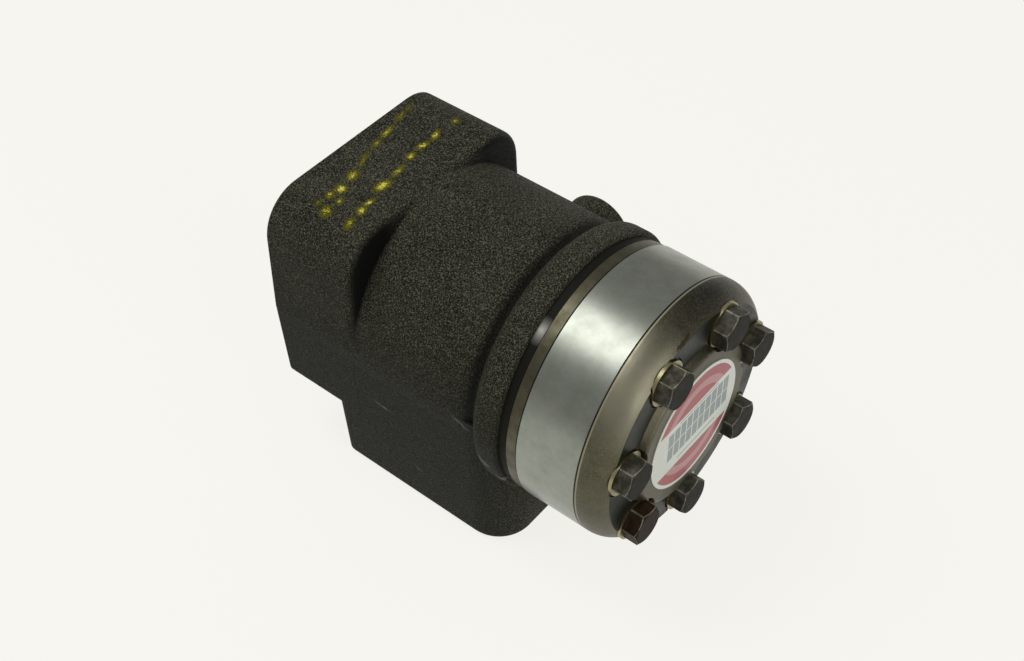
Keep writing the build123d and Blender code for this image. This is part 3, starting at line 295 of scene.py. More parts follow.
# x and y of the middle, half length, half width, turn from X and load of paint,
# in millimetres and degrees, with a full load of 1
dabs = [
    (4.9, 24.5, 4.5, 1.3, -70, 0.45), (5.8, 18.5, 5.5, 1.7, -72, 0.60), (8.0, 9.5, 6.0, 1.9, -80, 0.75),
    (9.2, 2.5, 4.0, 1.8, -76, 0.60), (11.6, -6.5, 7.0, 1.6, -68, 0.55), (14.4, -14.8, 4.2, 2.9, -70, 0.85),
    (16.1, -22.2, 3.2, 2.9, -80, 1.0), (15.2, -26.6, 3.0, 2.3, -60, 0.75), (14.4, -31.5, 2.6, 1.8, -75, 0.5),
    (19.9, -27.0, 2.6, 1.9, -60, 0.75), (19.2, -33.2, 3.8, 3.0, -75, 0.85), (22.8, 28.8, 3.0, 2.0, -75, 0.7),
    (22.4, 18.6, 4.4, 1.8, -70, 0.9), (22.6, 11.6, 4.6, 1.9, -98, 0.95), (23.1, 5.0, 3.2, 2.2, -80, 0.9),
    (24.9, -3.4, 5.4, 1.9, -80, 0.75), (25.9, -12.4, 5.4, 3.0, -92, 1.0), (28.1, -21.5, 3.6, 1.7, -95, 0.9),
    (28.9, -26.0, 3.2, 2.4, -75, 0.95), (29.5, -32.7, 3.8, 2.3, -80, 0.75),
]
marks = []
for x, y, length, width, turn, load in dabs:
    shape = spot(tree, place, (x, y, FLANGE_TOP), (length, width, 3.0), (0.0, 0.0, turn))
    marks.append(add(tree, "ShaderNodeMath", {0: shape, 1: load}, operation="MULTIPLY").outputs[0])
mark = either(tree, marks)
touched = add(tree, "ShaderNodeMapRange", {0: mark, 1: 0.0, 2: 0.08})
blotch = add(tree, "ShaderNodeTexNoise", {"Vector": place, "Scale": 1 / PAINT_FLECK, "Detail": 3.0,
                                          "Roughness": 0.7})
caught = add(tree, "ShaderNodeMath", {0: mark, 1: 0.42, 2: blotch.outputs[0]}, operation="MULTIPLY_ADD")
held = add(tree, "ShaderNodeMapRange", {0: caught.outputs[0], 1: 0.56, 2: 0.62})
paint = add(tree, "ShaderNodeMath", {0: held.outputs[0], 1: touched.outputs[0]}, operation="MULTIPLY")
on_grain = add(tree, "ShaderNodeMath", {0: mark, 1: 0.45, 2: grain.outputs[0]}, operation="MULTIPLY_ADD")
thick = add(tree, "ShaderNodeMapRange", {0: on_grain.outputs[0], 1: 0.74, 2: 0.90})
yellow = mixed(tree, thick.outputs[0], "#5f5a0c", "#f4ec66")
coloured = mixed(tree, paint.outputs[0], surface, yellow)
tree.links.new(coloured, shader.inputs["Base Color"])
print("paint dabs:", len(dabs))

# %% [markdown]
# The cast skin is dull and not metallic, because an oxide layer covers it. The bare
# places are metal with a finer finish, and they get no grain bump. The bump has two
# scales: the sand grain, and the slow waves of the mould.

# %% Cast skin: roughness, metal and bump
skin_rough = add(tree, "ShaderNodeMapRange", {0: grain.outputs[0], 1: 0.3, 2: 0.7, 3: 0.75, 4: 0.5})
rough = add(tree, "ShaderNodeMix", {0: bare, 2: skin_rough.outputs[0], 3: 0.38})
tree.links.new(rough.outputs[0], shader.inputs["Roughness"])
tree.links.new(bare, shader.inputs["Metallic"])
no_grain = either(tree, [bare, turned_edge])
grain_left = add(tree, "ShaderNodeMath", {0: 1.0, 1: no_grain}, operation="SUBTRACT")
strength = add(tree, "ShaderNodeMath", {0: grain_left.outputs[0], 1: coarse_skin.outputs[0]},
               operation="MULTIPLY")
fine = add(tree, "ShaderNodeBump", {"Height": grain.outputs[0], "Strength": strength.outputs[0],
                                    "Distance": 0.7 * MM})
coarse = add(tree, "ShaderNodeBump", {"Height": wave.outputs[0], "Strength": 0.4,
                                      "Distance": 0.9 * MM, "Normal": fine.outputs[0]})
tree.links.new(coarse.outputs[0], shader.inputs["Normal"])
print("cast iron nodes:", len(tree.nodes))

# %% [markdown]
# ## Ground and lapped steel
# The gear ring is hardened steel, ground on its outside. The wheel turns with the
# work, so the marks run round it: noise is stretched by reading the distance along
# the axis finely and the angle coarsely. Handling and storage leave cloudy stains.
# The thin plate beside it is lapped and carries a tan film of dried oil. Dirt has
# drawn a dark line into each joint between the plates. Real grinding marks are ten
# times finer and wouldn't show, so they are drawn as coarse as they need to be.

# %% Steel finishes
LAY_WIDTH = 0.2857 * MM
LAY_STRETCH = 1.5 * MM
STAIN_WIDTH = 9.091 * MM
JOINT_DIRT = 0.3
PLATE_JOINTS = (106.2, 110.5)
RING_JOINTS = (110.5, 134.0)
# clean and stained colour, lowest and highest roughness, joints along X in millimetres
finishes = {
    "ground bearing steel": ("#989b92", "#868a7f", 0.31, 0.36, RING_JOINTS),
    "lapped steel under an oil film": ("#625f4f", "#464333", 0.38, 0.50, PLATE_JOINTS),
    "hardened steel, ground": ("#a3a29c", "#8a8983", 0.25, 0.36, ()),
    "blued spring steel": ("#4f5157", "#3d3c3e", 0.32, 0.42, ()),
    "zinc plated steel, pale yellow": ("#aaa37f", "#867f5a", 0.32, 0.44, ()),
}
steel = {}
for name, (clean, stained, low_rough, high_rough, joints) in finishes.items():
    metal, tree, shader, place, axes, radius = start_material(name, {})
    angle = add(tree, "ShaderNodeMath", {0: axes.outputs["Z"], 1: axes.outputs["Y"]}, operation="ARCTAN2")
    turns = add(tree, "ShaderNodeMath", {0: angle.outputs[0], 1: LAY_STRETCH}, operation="MULTIPLY")
    wrapped = add(tree, "ShaderNodeCombineXYZ", {0: axes.outputs["X"], 1: turns.outputs[0], 2: radius})
    lay = add(tree, "ShaderNodeTexNoise", {"Vector": wrapped.outputs[0], "Scale": 1 / LAY_WIDTH,
                                           "Detail": 2.0})
    clouds = add(tree, "ShaderNodeTexNoise", {"Vector": place, "Scale": 1 / STAIN_WIDTH, "Detail": 8.0,
                                              "Roughness": 0.72})
    stain = add(tree, "ShaderNodeMapRange", {0: clouds.outputs[0], 1: 0.36, 2: 0.70})
    colour = mixed(tree, stain.outputs[0], clean, stained)
    joint_lines = [band(tree, axes.outputs["X"], joint - JOINT_DIRT, joint + JOINT_DIRT)
                   for joint in joints]
    dirt = either(tree, joint_lines or [0.0])
    with_dirt = mixed(tree, dirt, colour, "#14130f")
    is_metal = add(tree, "ShaderNodeMath", {0: 1.0, 1: dirt}, operation="SUBTRACT")
    rough = add(tree, "ShaderNodeMapRange", {0: clouds.outputs[0], 1: 0.3, 2: 0.7, 3: low_rough,
                                             4: high_rough})
    bump = add(tree, "ShaderNodeBump", {"Height": lay.outputs[0], "Strength": 0.12, "Distance": 0.05 * MM})
    tree.links.new(with_dirt, shader.inputs["Base Color"])
    tree.links.new(is_metal.outputs[0], shader.inputs["Metallic"])
    tree.links.new(rough.outputs[0], shader.inputs["Roughness"])
    tree.links.new(bump.outputs[0], shader.inputs["Normal"])
    steel[name] = metal
print("steel finishes:", len(steel))

# %% [markdown]
# ## The end cover
# The cover is turned iron with a thin phosphate layer: brown grey and mottled. A soft highlight is painted on
# the rounded edge, and shade is painted over its top. Between the screws a cutter has left a flat channel,
# darker, oily and with fine round marks. A bright line is painted along the corner that meets the ring as its
# highlight, and a few rust specks sit by one screw. The turning marks follow the radius, drawn coarser than
# the real ones, which wouldn't show.

# %% Phosphated cover material
MOTTLE_WIDTH = 7.692 * MM
FLECK_WIDTH = 0.4348 * MM
RUST_SPECK = 1.111 * MM
TURNING_PITCH = 0.3846 * MM
cover_metal, tree, shader, place, axes, radius = start_material("phosphated turned iron", {"Metallic": 0.7})
mottle = add(tree, "ShaderNodeTexNoise", {"Vector": place, "Scale": 1 / MOTTLE_WIDTH, "Detail": 6.0,
                                          "Roughness": 0.7})
patch = add(tree, "ShaderNodeMapRange", {0: mottle.outputs[0], 1: 0.38, 2: 0.66})
# the top of the cover is painted darker as shade
painted_top_shade = spot(tree, place, (139.0, 16.0, 46.0), (26.0, 48.0, 34.0))
# a bright patch on the rounded edge is a painted highlight
painted_highlight_place = spot(tree, place, (139.0, -26.0, 36.0), (14.0, 24.0, 24.0))
mottled = mixed(tree, patch.outputs[0], "#4d4a37", "#625e4b")
base = mixed(tree, painted_highlight_place, mixed(tree, painted_top_shade, mottled, "#15140a"), "#989480")
fleck = add(tree, "ShaderNodeTexNoise", {"Vector": place, "Scale": 1 / FLECK_WIDTH, "Detail": 2.0})
flecked = add(tree, "ShaderNodeMapRange", {0: fleck.outputs[0], 1: 0.50, 2: 0.75, 4: 0.35})
brown = mixed(tree, flecked.outputs[0], base, "#8d8a76")
cut = mixed(tree, band(tree, radius, 31.4, 42.8), brown, "#22231a")
rust_spot = spot(tree, place, (143.5, -7.0, 42.8), (5.0, 8.0, 1.0), (12.0, 0.0, 0.0))
specks = add(tree, "ShaderNodeTexNoise", {"Vector": place, "Scale": 1 / RUST_SPECK, "Detail": 3.0})
speckled = add(tree, "ShaderNodeMath", {0: rust_spot, 1: specks.outputs[0]}, operation="ADD")
rust = add(tree, "ShaderNodeMapRange", {0: speckled.outputs[0], 1: 0.92, 2: 1.0, 4: 0.9})
rusted = mixed(tree, rust.outputs[0], cut, "#33240b")
# a bright line is painted along the corner by the ring as its highlight
with_edge_highlight = mixed(tree, band(tree, axes.outputs["X"], 134.3, 134.9), rusted, "#98947b")
with_dirt = mixed(tree, band(tree, axes.outputs["X"], 133.7, 134.3), with_edge_highlight, "#14130f")
rough = add(tree, "ShaderNodeMapRange", {0: mottle.outputs[0], 1: 0.3, 2: 0.7, 3: 0.36, 4: 0.54})
turning = add(tree, "ShaderNodeCombineXYZ", {0: axes.outputs["X"], 1: radius, 2: 0.0})
rings = add(tree, "ShaderNodeTexNoise", {"Vector": turning.outputs[0], "Scale": 1 / TURNING_PITCH,
                                         "Detail": 2.0})
bump = add(tree, "ShaderNodeBump", {"Height": rings.outputs[0], "Strength": 0.15, "Distance": 0.06 * MM})
tree.links.new(with_dirt, shader.inputs["Base Color"])
tree.links.new(rough.outputs[0], shader.inputs["Roughness"])
tree.links.new(bump.outputs[0], shader.inputs["Normal"])
print("cover nodes:", len(tree.nodes))

# %% [markdown]
# ## Screws
# Black oxide is a thin skin on steel, nearly black and dull. One screw has begun to rust, so its colour goes
# to red brown in patches. Spanners polish the six flats and rub the edges bare, and the end face stays black.
# The flats are painted a lighter grey, partly as the light they catch, and the edges pale as their painted
# highlight. The mesh stores this in a point attribute: 0 on the end face, 0.5 on the flats and 1 on the
# edges.

# %% Black oxide and rusty screw materials
OXIDE_PATCH = 3.125 * MM
screw_finish = {}
# dark oxide, lighter oxide or rust, and polished flat with painted light
for name, base, second, polished_and_lit in (("black oxide steel", "#16150d", "#26251c", "#5f5d52"),
                                     ("black oxide steel, rusting", "#17120d", "#382313", "#3d2f22")):
    metal, tree, shader, place, axes, radius = start_material(name, {"Specular IOR Level": 0.05})
    wear = add(tree, "ShaderNodeTexNoise", {"Vector": place, "Scale": 1 / OXIDE_PATCH, "Detail": 5.0,
                                            "Roughness": 0.65})
    wear_and_sheen = add(tree, "ShaderNodeMapRange", {0: wear.outputs[0], 1: 0.42, 2: 0.62})
    edge = add(tree, "ShaderNodeAttribute", attribute_name="wear_and_sheen")
    flat = add(tree, "ShaderNodeMapRange", {0: edge.outputs["Fac"], 1: 0.1, 2: 0.45})
    line = add(tree, "ShaderNodeMapRange", {0: edge.outputs["Fac"], 1: 0.75, 2: 1.0})
    patchy_wear = add(tree, "ShaderNodeMapRange", {0: wear_and_sheen.outputs[0], 3: 0.35, 4: 1.0})
    flat_polish_and_light = add(tree, "ShaderNodeMath", {0: flat.outputs[0], 1: patchy_wear.outputs[0]},
                   operation="MULTIPLY")
    bare_edge_highlight = add(tree, "ShaderNodeMath", {0: line.outputs[0], 1: patchy_wear.outputs[0]},
                operation="MULTIPLY")
    oxide = mixed(tree, wear_and_sheen.outputs[0], base, second)
    # pale edges are a painted highlight on bare steel, and the flats are partly painted light
    colour = mixed(tree, bare_edge_highlight.outputs[0], mixed(tree, flat_polish_and_light.outputs[0], oxide, polished_and_lit), "#a9a798")
    rough = add(tree, "ShaderNodeMapRange", {0: wear.outputs[0], 1: 0.3, 2: 0.7, 3: 0.40, 4: 0.6})
    bump = add(tree, "ShaderNodeBump", {"Height": wear.outputs[0], "Strength": 0.25, "Distance": 0.12 * MM})
    tree.links.new(colour, shader.inputs["Base Color"])
    tree.links.new(rough.outputs[0], shader.inputs["Roughness"])
    tree.links.new(bump.outputs[0], shader.inputs["Normal"])
    screw_finish[name] = metal
print("screw finishes:", list(screw_finish))

# %% [markdown]
# ## Label
# The round label is printed on coated paper, and here it has nothing to read: a plain
# red segment above and below with a pale stripe, and an empty grey table of two rows
# between two ruled lines. All of it comes from distances along Y and Z.

# %% Printed label material
PAPER_STAIN = 6.25 * MM
PRINT_WEAR = 1.111 * MM
label_ink, tree, shader, place, axes, radius = start_material("coated label paper",
                                                              {"IOR": 1.48, "Roughness": 0.32})
y_axis, z_axis = axes.outputs["Y"], axes.outputs["Z"]
TABLE_LEFT, TABLE_RIGHT, TABLE_LOW, TABLE_HIGH = -15.6, 19.4, -5.7, 7.7
CELL_WIDTH, CELL_HEIGHT, RULE = 3.5, 6.7, 0.5
segments = either(tree, [band(tree, z_axis, 10.3, 24.0), band(tree, z_axis, -24.0, -10.9)])
inked = add(tree, "ShaderNodeMath", {0: segments, 1: band(tree, radius, -1.0, 22.7)}, operation="MULTIPLY")
stripe = add(tree, "ShaderNodeMath", {0: inked.outputs[0], 1: band(tree, radius, 15.6, 18.9)},
             operation="MULTIPLY")
in_table = add(tree, "ShaderNodeMath", {0: band(tree, y_axis, TABLE_LEFT, TABLE_RIGHT),
                                        1: band(tree, z_axis, TABLE_LOW, TABLE_HIGH)}, operation="MULTIPLY")
cell_part = in_table.outputs[0]
for axis, start, size in ((y_axis, TABLE_LEFT, CELL_WIDTH), (z_axis, TABLE_LOW, CELL_HEIGHT)):
    from_start = add(tree, "ShaderNodeMath", {0: axis, 1: start * MM}, operation="SUBTRACT")
    within = add(tree, "ShaderNodeMath", {0: from_start.outputs[0], 1: size * MM}, operation="FLOORED_MODULO")
    open_part = band(tree, within.outputs[0], RULE, size)
    cell_part = add(tree, "ShaderNodeMath", {0: cell_part, 1: open_part}, operation="MULTIPLY").outputs[0]
rule_heights = either(tree, [band(tree, z_axis, 8.7, 9.2), band(tree, z_axis, -8.6, -8.1)])
rules = add(tree, "ShaderNodeMath", {0: rule_heights, 1: band(tree, y_axis, -9.0, 13.0)},
            operation="MULTIPLY")
worn_paper = add(tree, "ShaderNodeTexNoise", {"Vector": place, "Scale": 1 / PAPER_STAIN, "Detail": 4.0})
print_wear = add(tree, "ShaderNodeTexNoise", {"Vector": place, "Scale": 1 / PRINT_WEAR, "Detail": 3.0})
paper_tone = mixed(tree, worn_paper.outputs[0], "#eef3e2", "#f8fbf1")
red_tone = mixed(tree, worn_paper.outputs[0], "#a53541", "#bb4a54")
with_red = mixed(tree, inked.outputs[0], paper_tone, red_tone)
with_stripe = mixed(tree, stripe.outputs[0], with_red, "#c98d8c")
grey_tone = mixed(tree, print_wear.outputs[0], "#82908d", "#b0bab4")
with_cells = mixed(tree, cell_part, with_stripe, grey_tone)
with_rules = mixed(tree, rules.outputs[0], with_cells, "#8f9892")
tree.links.new(with_rules, shader.inputs["Base Color"])
print("label nodes:", len(tree.nodes))

# %% [markdown]
# ## Rubber and sealing ring
# The O-rings and the dust seal are moulded nitrile rubber, nearly black, with a dull
# bloom that noise gives as patches of roughness. The shaft's sealing ring is a plastic
# filled with bronze, so it is dark brown and a little smoother.

# %% Rubber and sealing ring materials
BLOOM_PATCH = 2.0 * MM
soft_finish = {}
for name, base, second, low_rough in (("nitrile rubber, moulded", "#141414", "#202020", 0.5),
                                      ("bronze filled sealing ring", "#4a3324", "#5f4431", 0.42)):
    soft, tree, shader, place, axes, radius = start_material(name, {"IOR": 1.5})
    bloom = add(tree, "ShaderNodeTexNoise", {"Vector": place, "Scale": 1 / BLOOM_PATCH, "Detail": 3.0})
    rough = add(tree, "ShaderNodeMapRange", {0: bloom.outputs[0], 3: low_rough, 4: low_rough + 0.25})
    tree.links.new(mixed(tree, bloom.outputs[0], base, second), shader.inputs["Base Color"])
    tree.links.new(rough.outputs[0], shader.inputs["Roughness"])
    soft_finish[name] = soft
print("soft finishes:", list(soft_finish))

# %% [markdown]
# ## Give every CAD piece its finish
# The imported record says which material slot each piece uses, so the finishes are
# handed out by slot.

# %% Assign the finishes
by_slot = {
    "cast_housing": iron,
    "ground_steel": steel["ground bearing steel"],
    "plate_steel": steel["lapped steel under an oil film"],
    "phosphated_cover": cover_metal,
    "black_oxide": screw_finish["black oxide steel"],
    "rusted_screw": screw_finish["black oxide steel, rusting"],
    "zinc_washer": steel["zinc plated steel, pale yellow"],
    "label_paper": label_ink,
    "seal_rubber": soft_finish["nitrile rubber, moulded"],
    "seal_ptfe": soft_finish["bronze filled sealing ring"],
    "hardened_steel": steel["hardened steel, ground"],
    "spring_steel": steel["blued spring steel"],
}
slot_of = {entry["node"]: entry["material_slot"] for entry in frame["record"]["subparts"]}
for node_name, node_object in frame["nodes"].items():
    for material_slot in node_object.material_slots:
        material_slot.material = by_slot[slot_of[node_name]]
print("finished:", len(slot_of))

# %% [markdown]
# ## Seven hexagon screws from one
# A forged screw head has slightly rounded edges, and they are what catches the light
# on a nearly black screw. The pattern is a lathe shape: every loop has the same number
# of points, and in the head a point's reach is the smaller of the hexagon and the
# chamfer cone. A Bevel modifier then rounds its edges.

# %% One screw
WASHER_X = 145.1 * MM
SCREW_CIRCLE = 36.3 * MM
HEAD_FLATS = 13.0 * MM
HEAD_HEIGHT = 5.5 * MM
FACE_RADIUS = 6.2 * MM
CHAMFER_SLOPE = math.tan(math.radians(30.0))
SHANK_RADIUS = 4.0 * MM
SHANK_LENGTH = 37.3 * MM
THREAD_RADIUS = 3.38 * MM
SCREW_LENGTH = 55.9 * MM
END_CHAMFER = 0.8 * MM
HEAD_CHAMFER = 1.0 * MM
CHAMFER_LOOPS = 8
EDGE_WEAR_AND_SHEEN = 0.25 * MM
EDGE_ROUNDING = 0.22 * MM
LOOP_POINTS = 48
HEXAGON_STEP = math.radians(60.0)


def head_reach(angle, height):
    """How far the head reaches from its axis, at an angle and a height over the washer."""
    from_flat = (angle + HEXAGON_STEP / 2) % HEXAGON_STEP - HEXAGON_STEP / 2
    cone = FACE_RADIUS + (HEAD_HEIGHT - height) / CHAMFER_SLOPE
    return min(HEAD_FLATS / 2 / math.cos(from_flat), cone)


# these values mark the wear, and where the edge highlight and the light on the flats are painted
def head_wear_and_sheen(angle, height, reach):
    """1 on the head's corners and where the chamfer meets a flat, 0.5 on a flat, else 0."""
    from_flat = (angle + HEXAGON_STEP / 2) % HEXAGON_STEP - HEXAGON_STEP / 2
    flat = HEAD_FLATS / 2 / math.cos(from_flat)
    cone = FACE_RADIUS + (HEAD_HEIGHT - height) / CHAMFER_SLOPE
    at_corner = abs(abs(from_flat) - HEXAGON_STEP / 2) < math.radians(1.0) and cone > flat
    at_chamfer = abs(cone - flat) < EDGE_WEAR_AND_SHEEN
    if reach < FACE_RADIUS + 0.1 * MM:
        return 0.0
    return 1.0 if at_corner or at_chamfer else 0.5


def screw_mesh(name):
    """A screw standing on the origin: the head towards +Z and the shank towards -Z."""
    made = bmesh.new()
    angles = [2 * math.pi * i / LOOP_POINTS for i in range(LOOP_POINTS)]
    heights = [0.0] + [HEAD_HEIGHT - HEAD_CHAMFER * (1 - step / CHAMFER_LOOPS)
                       for step in range(CHAMFER_LOOPS + 1)]
    outlines = [([radius] * LOOP_POINTS, height) for radius, height in (
        (THREAD_RADIUS - END_CHAMFER, -SCREW_LENGTH), (THREAD_RADIUS, END_CHAMFER - SCREW_LENGTH),
        (THREAD_RADIUS, -SHANK_LENGTH), (SHANK_RADIUS, -SHANK_LENGTH), (SHANK_RADIUS, 0.0))]
    outlines += [([head_reach(angle, height) for angle in angles], height) for height in heights]
    loops = [[made.verts.new((reach * math.cos(angle), reach * math.sin(angle), height))
              for reach, angle in zip(reaches, angles)] for reaches, height in outlines]
    for low, high in zip(loops, loops[1:]):
        for i in range(LOOP_POINTS):
            j = (i + 1) % LOOP_POINTS
            made.faces.new((low[i], low[j], high[j], high[i]))
    made.faces.new(loops[0])
    made.faces.new(loops[-1])
    bmesh.ops.recalc_face_normals(made, faces=made.faces)
    mesh = bpy.data.meshes.new(name)
    made.to_mesh(mesh)
    made.free()
    wear_and_sheen = mesh.attributes.new("wear_and_sheen", "FLOAT", "POINT")
    wear_and_sheen.data.foreach_set("value", [
        head_wear_and_sheen(math.atan2(v.co.y, v.co.x), v.co.z, math.hypot(v.co.x, v.co.y))
        for v in mesh.vertices])
    return mesh


screw_pattern = bpy.data.objects.new("screw_pattern", screw_mesh("screw_pattern"))
bpy.context.scene.collection.objects.link(screw_pattern)
bevel = screw_pattern.modifiers.new("edges", "BEVEL")
bevel.width = EDGE_ROUNDING
bevel.segments = 3
bevel.limit_method = "ANGLE"
bevel.angle_limit = math.radians(20.0)
print("screw faces:", len(screw_pattern.data.polygons))

# %% [markdown]
# Geometry Nodes set a copy on each point of the screw circle. Every point stores the
# angle that its own screw was tightened to. `Lean` tips the copies over, because the
# pattern stands on Z and the screws lie along X.

# %% Scatter tree


def scatter_tree(name, finish):
    """Geometry Nodes: a copy of an object on each point, turned by the point's own angle."""
    group = bpy.data.node_groups.new(name, "GeometryNodeTree")
    group.interface.new_socket("Points", in_out="INPUT", socket_type="NodeSocketGeometry")
    group.interface.new_socket("Pattern", in_out="INPUT", socket_type="NodeSocketObject")
    group.interface.new_socket("Lean", in_out="INPUT", socket_type="NodeSocketFloat")
    group.interface.new_socket("Pieces", in_out="OUTPUT", socket_type="NodeSocketGeometry")
    entry = add(group, "NodeGroupInput")
    pattern = add(group, "GeometryNodeObjectInfo", {"Object": entry.outputs["Pattern"]})
    angle = add(group, "GeometryNodeInputNamedAttribute", {"Name": "turn"}, data_type="FLOAT")
    upright = add(group, "ShaderNodeCombineXYZ", {1: entry.outputs["Lean"]})
    spin = add(group, "ShaderNodeCombineXYZ", {2: angle.outputs["Attribute"]})
    stand = add(group, "FunctionNodeEulerToRotation", {0: upright.outputs[0]})
    twist = add(group, "FunctionNodeEulerToRotation", {0: spin.outputs[0]})
    turned = add(group, "FunctionNodeRotateRotation", {0: stand.outputs[0], 1: twist.outputs[0]},
                 rotation_space="LOCAL")
    copies = add(group, "GeometryNodeInstanceOnPoints", {"Points": entry.outputs["Points"],
                                                         "Instance": pattern.outputs["Geometry"],
                                                         "Rotation": turned.outputs[0]})
    real = add(group, "GeometryNodeRealizeInstances", {0: copies.outputs[0]})
    painted = add(group, "GeometryNodeSetMaterial", {0: real.outputs[0], "Material": finish})
    add(group, "NodeGroupOutput", {0: painted.outputs[0]})
    return group


def scattered(name, points, angles, pattern, finish):
    """A plain mesh object with one turned copy of the pattern on each point."""
    carrier_mesh = bpy.data.meshes.new(name + "_points")
    carrier_mesh.from_pydata(points, [], [])
    turn = carrier_mesh.attributes.new("turn", "FLOAT", "POINT")
    turn.data.foreach_set("value", angles)
    carrier = bpy.data.objects.new(name + "_carrier", carrier_mesh)
    bpy.context.scene.collection.objects.link(carrier)
    group = scatter_tree(name + "_tree", finish)
    modifier = carrier.modifiers.new("scatter", "NODES")
    modifier.node_group = group
    sockets = {item.name: item.identifier for item in group.interface.items_tree if item.in_out == "INPUT"}
    modifier[sockets["Pattern"]] = pattern
    modifier[sockets["Lean"]] = math.pi / 2
    evaluated = carrier.evaluated_get(bpy.context.evaluated_depsgraph_get())
    mesh = bpy.data.meshes.new_from_object(evaluated)
    mesh.name = name
    bpy.data.objects.remove(carrier)
    bpy.data.node_groups.remove(group)
    made = bpy.data.objects.new(name, mesh)
    bpy.context.scene.collection.objects.link(made)
    return made


print("scatter tree ready")

# %% [markdown]
# The finished copies are taken from the evaluated object as one plain mesh, and the
# carrier with its modifier is deleted. Six screws share one mesh. The seventh, over
# the check valve, has its own finish, so it is a mesh of its own.

# %% Set the screws in place
# each head stopped at its own angle when it was tightened
head_angles = [math.radians(a) for a in (10, 34, 22, 35, 13, 2, 49)]
screw_points = []
for place_number in range(len(head_angles)):
    angle = math.radians(-90) + place_number * 2 * math.pi / len(head_angles)
    screw_points.append((WASHER_X, SCREW_CIRCLE * math.cos(angle), SCREW_CIRCLE * math.sin(angle)))
for piece_name, chosen, node_name, slot_name in (
    ("black_screws", slice(0, 6), "cover_screws", "black_oxide"),
    ("rusty_screw", slice(6, 7), "special_screw", "rusted_screw"),
):
    piece = scattered(piece_name, screw_points[chosen], head_angles[chosen], screw_pattern,
                      by_slot[slot_name])
    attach(piece, "housing_set")
    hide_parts(node_name)
    print(piece.name, len(piece.data.polygons), [round(v, 4) for v in piece.dimensions])
bpy.data.objects.remove(screw_pattern)

# %% [markdown]
# ## Valve springs
# Three valve springs get shorter when their valve lifts. The imported record names each spring and the end of
# it that stays put. Each one is swapped for a copy of its mesh on the valve's parent body, and its length
# from that end is measured, but the copy isn't squashed. The leaf springs between spool and sleeve bend
# instead, which a squash can't show, so they stay as they are.

# %% Copies of the valve springs
for joint in frame["joints"]:
    for change in joint.get("deforming_nodes", []):
        if change["mode"] != "scale_x":
            continue
        at_rest = frame["nodes"][change["node"]]
        coil_mesh = at_rest.data.copy()
        coil_mesh.transform(at_rest.matrix_world)
        coil = bpy.data.objects.new(change["node"] + "_coil", coil_mesh)
        bpy.context.scene.collection.objects.link(coil)
        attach(coil, joint["parent"])
        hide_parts(change["node"])
        fixed_end = change["fixed_end_x_m"]
        length = max(abs(corner.co.x - fixed_end) for corner in coil_mesh.vertices)
        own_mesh(coil)

# %% [markdown]
# ## Floor
# The unit stands on its port face on a pale floor. The floor glows for rays from the
# camera and for rays that metal reflects, so the background is pale without more
# light on the object, and the floor still takes a soft shadow.

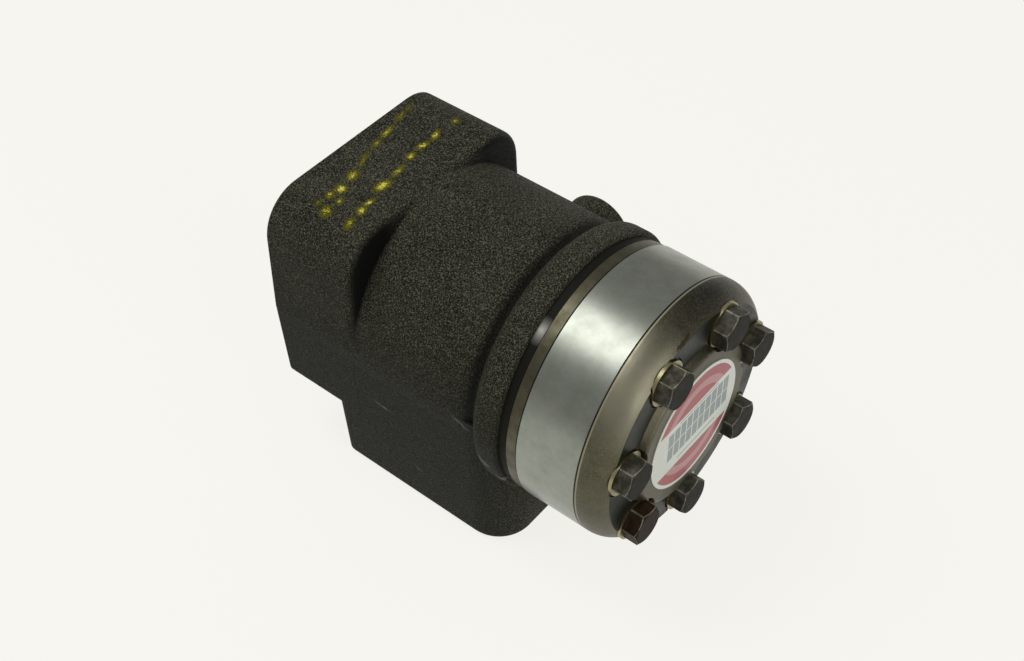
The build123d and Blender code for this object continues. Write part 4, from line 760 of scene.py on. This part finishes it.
# %% Floor
bpy.ops.mesh.primitive_plane_add(size=8.0, location=(0.0, 0.0, cad_box[0].z))
floor = bpy.context.object
floor.name = "floor"
paper = bpy.data.materials.new("pale studio paper")
paper.use_nodes = True
tree = paper.node_tree
tree.nodes.clear()
rays = add(tree, "ShaderNodeLightPath")
seen = either(tree, [rays.outputs["Is Camera Ray"], rays.outputs["Is Glossy Ray"],
                     rays.outputs["Is Transmission Ray"]])
glow = add(tree, "ShaderNodeMath", {0: seen, 1: 0.90}, operation="MULTIPLY")
matte = add(tree, "ShaderNodeBsdfDiffuse", {0: linear("#626260")})
light = add(tree, "ShaderNodeEmission", {0: linear("#f7f6f1"), 1: glow.outputs[0]})
both = add(tree, "ShaderNodeAddShader", {0: matte.outputs[0], 1: light.outputs[0]})
add(tree, "ShaderNodeOutputMaterial", {0: both.outputs[0]})
floor.data.materials.append(paper)

# %% [markdown]
# ## Light
# Two soft lamps and a plain grey world light the unit. The lamp overhead gives the
# bright band on the gear ring, and the larger one lights the end cover. The levels are
# low enough that no surface turns white, and a colour shows about as it is written.

# %% Lamps and world
world = bpy.data.worlds.new("studio")
bpy.context.scene.world = world
world.use_nodes = True
world.node_tree.nodes["Background"].inputs[0].default_value = linear("#f0f0ee")
world.node_tree.nodes["Background"].inputs[1].default_value = 0.45
middle = Vector((0.075, 0.0, -0.01))
# direction from the unit, distance and size in metres, and power in watts
for name, direction, distance, size, watts in (
    ("overhead", (-0.39, -0.22, 0.88), 0.75, 0.35, 1.9),
    ("cover side", (0.93, -0.10, 0.37), 1.1, 0.7, 3.5),
):
    lamp_data = bpy.data.lights.new(name, "AREA")
    lamp_data.size = size
    lamp_data.energy = watts
    lamp = bpy.data.objects.new(name, lamp_data)
    lamp.location = middle + Vector(direction).normalized() * distance
    lamp.rotation_euler = (middle - lamp.location).to_track_quat("-Z", "Y").to_euler()
    bpy.context.scene.collection.objects.link(lamp)

# %% [markdown]
# ## Camera
# The camera looks down on the end cover from the near side. Its place, turn and lens
# were fitted to the outlines in the photograph, so the numbers aren't round.

# %% Camera
camera_data = bpy.data.cameras.new("camera")
camera_data.sensor_width = 36.0
camera_data.lens = 51.637
camera = bpy.data.objects.new("camera", camera_data)
right = Vector((0.777843, 0.628344, -0.012))
up = Vector((-0.45038, 0.57065, 0.68667))
back = right.cross(up)
camera.matrix_world = Matrix((
    (right.x, up.x, back.x, 0.297028),
    (right.y, up.y, back.y, -0.272881),
    (right.z, up.z, back.z, 0.369666),
    (0.0, 0.0, 0.0, 1.0),
))
bpy.context.scene.collection.objects.link(camera)
bpy.context.scene.camera = camera
bpy.context.scene.view_settings.view_transform = "Standard"
print("camera height:", round(camera.location.z, 3))

# %% [markdown]
# ## Last update
# The last cell updates the view layer.

# %% Update, and done
bpy.context.view_layer.update()
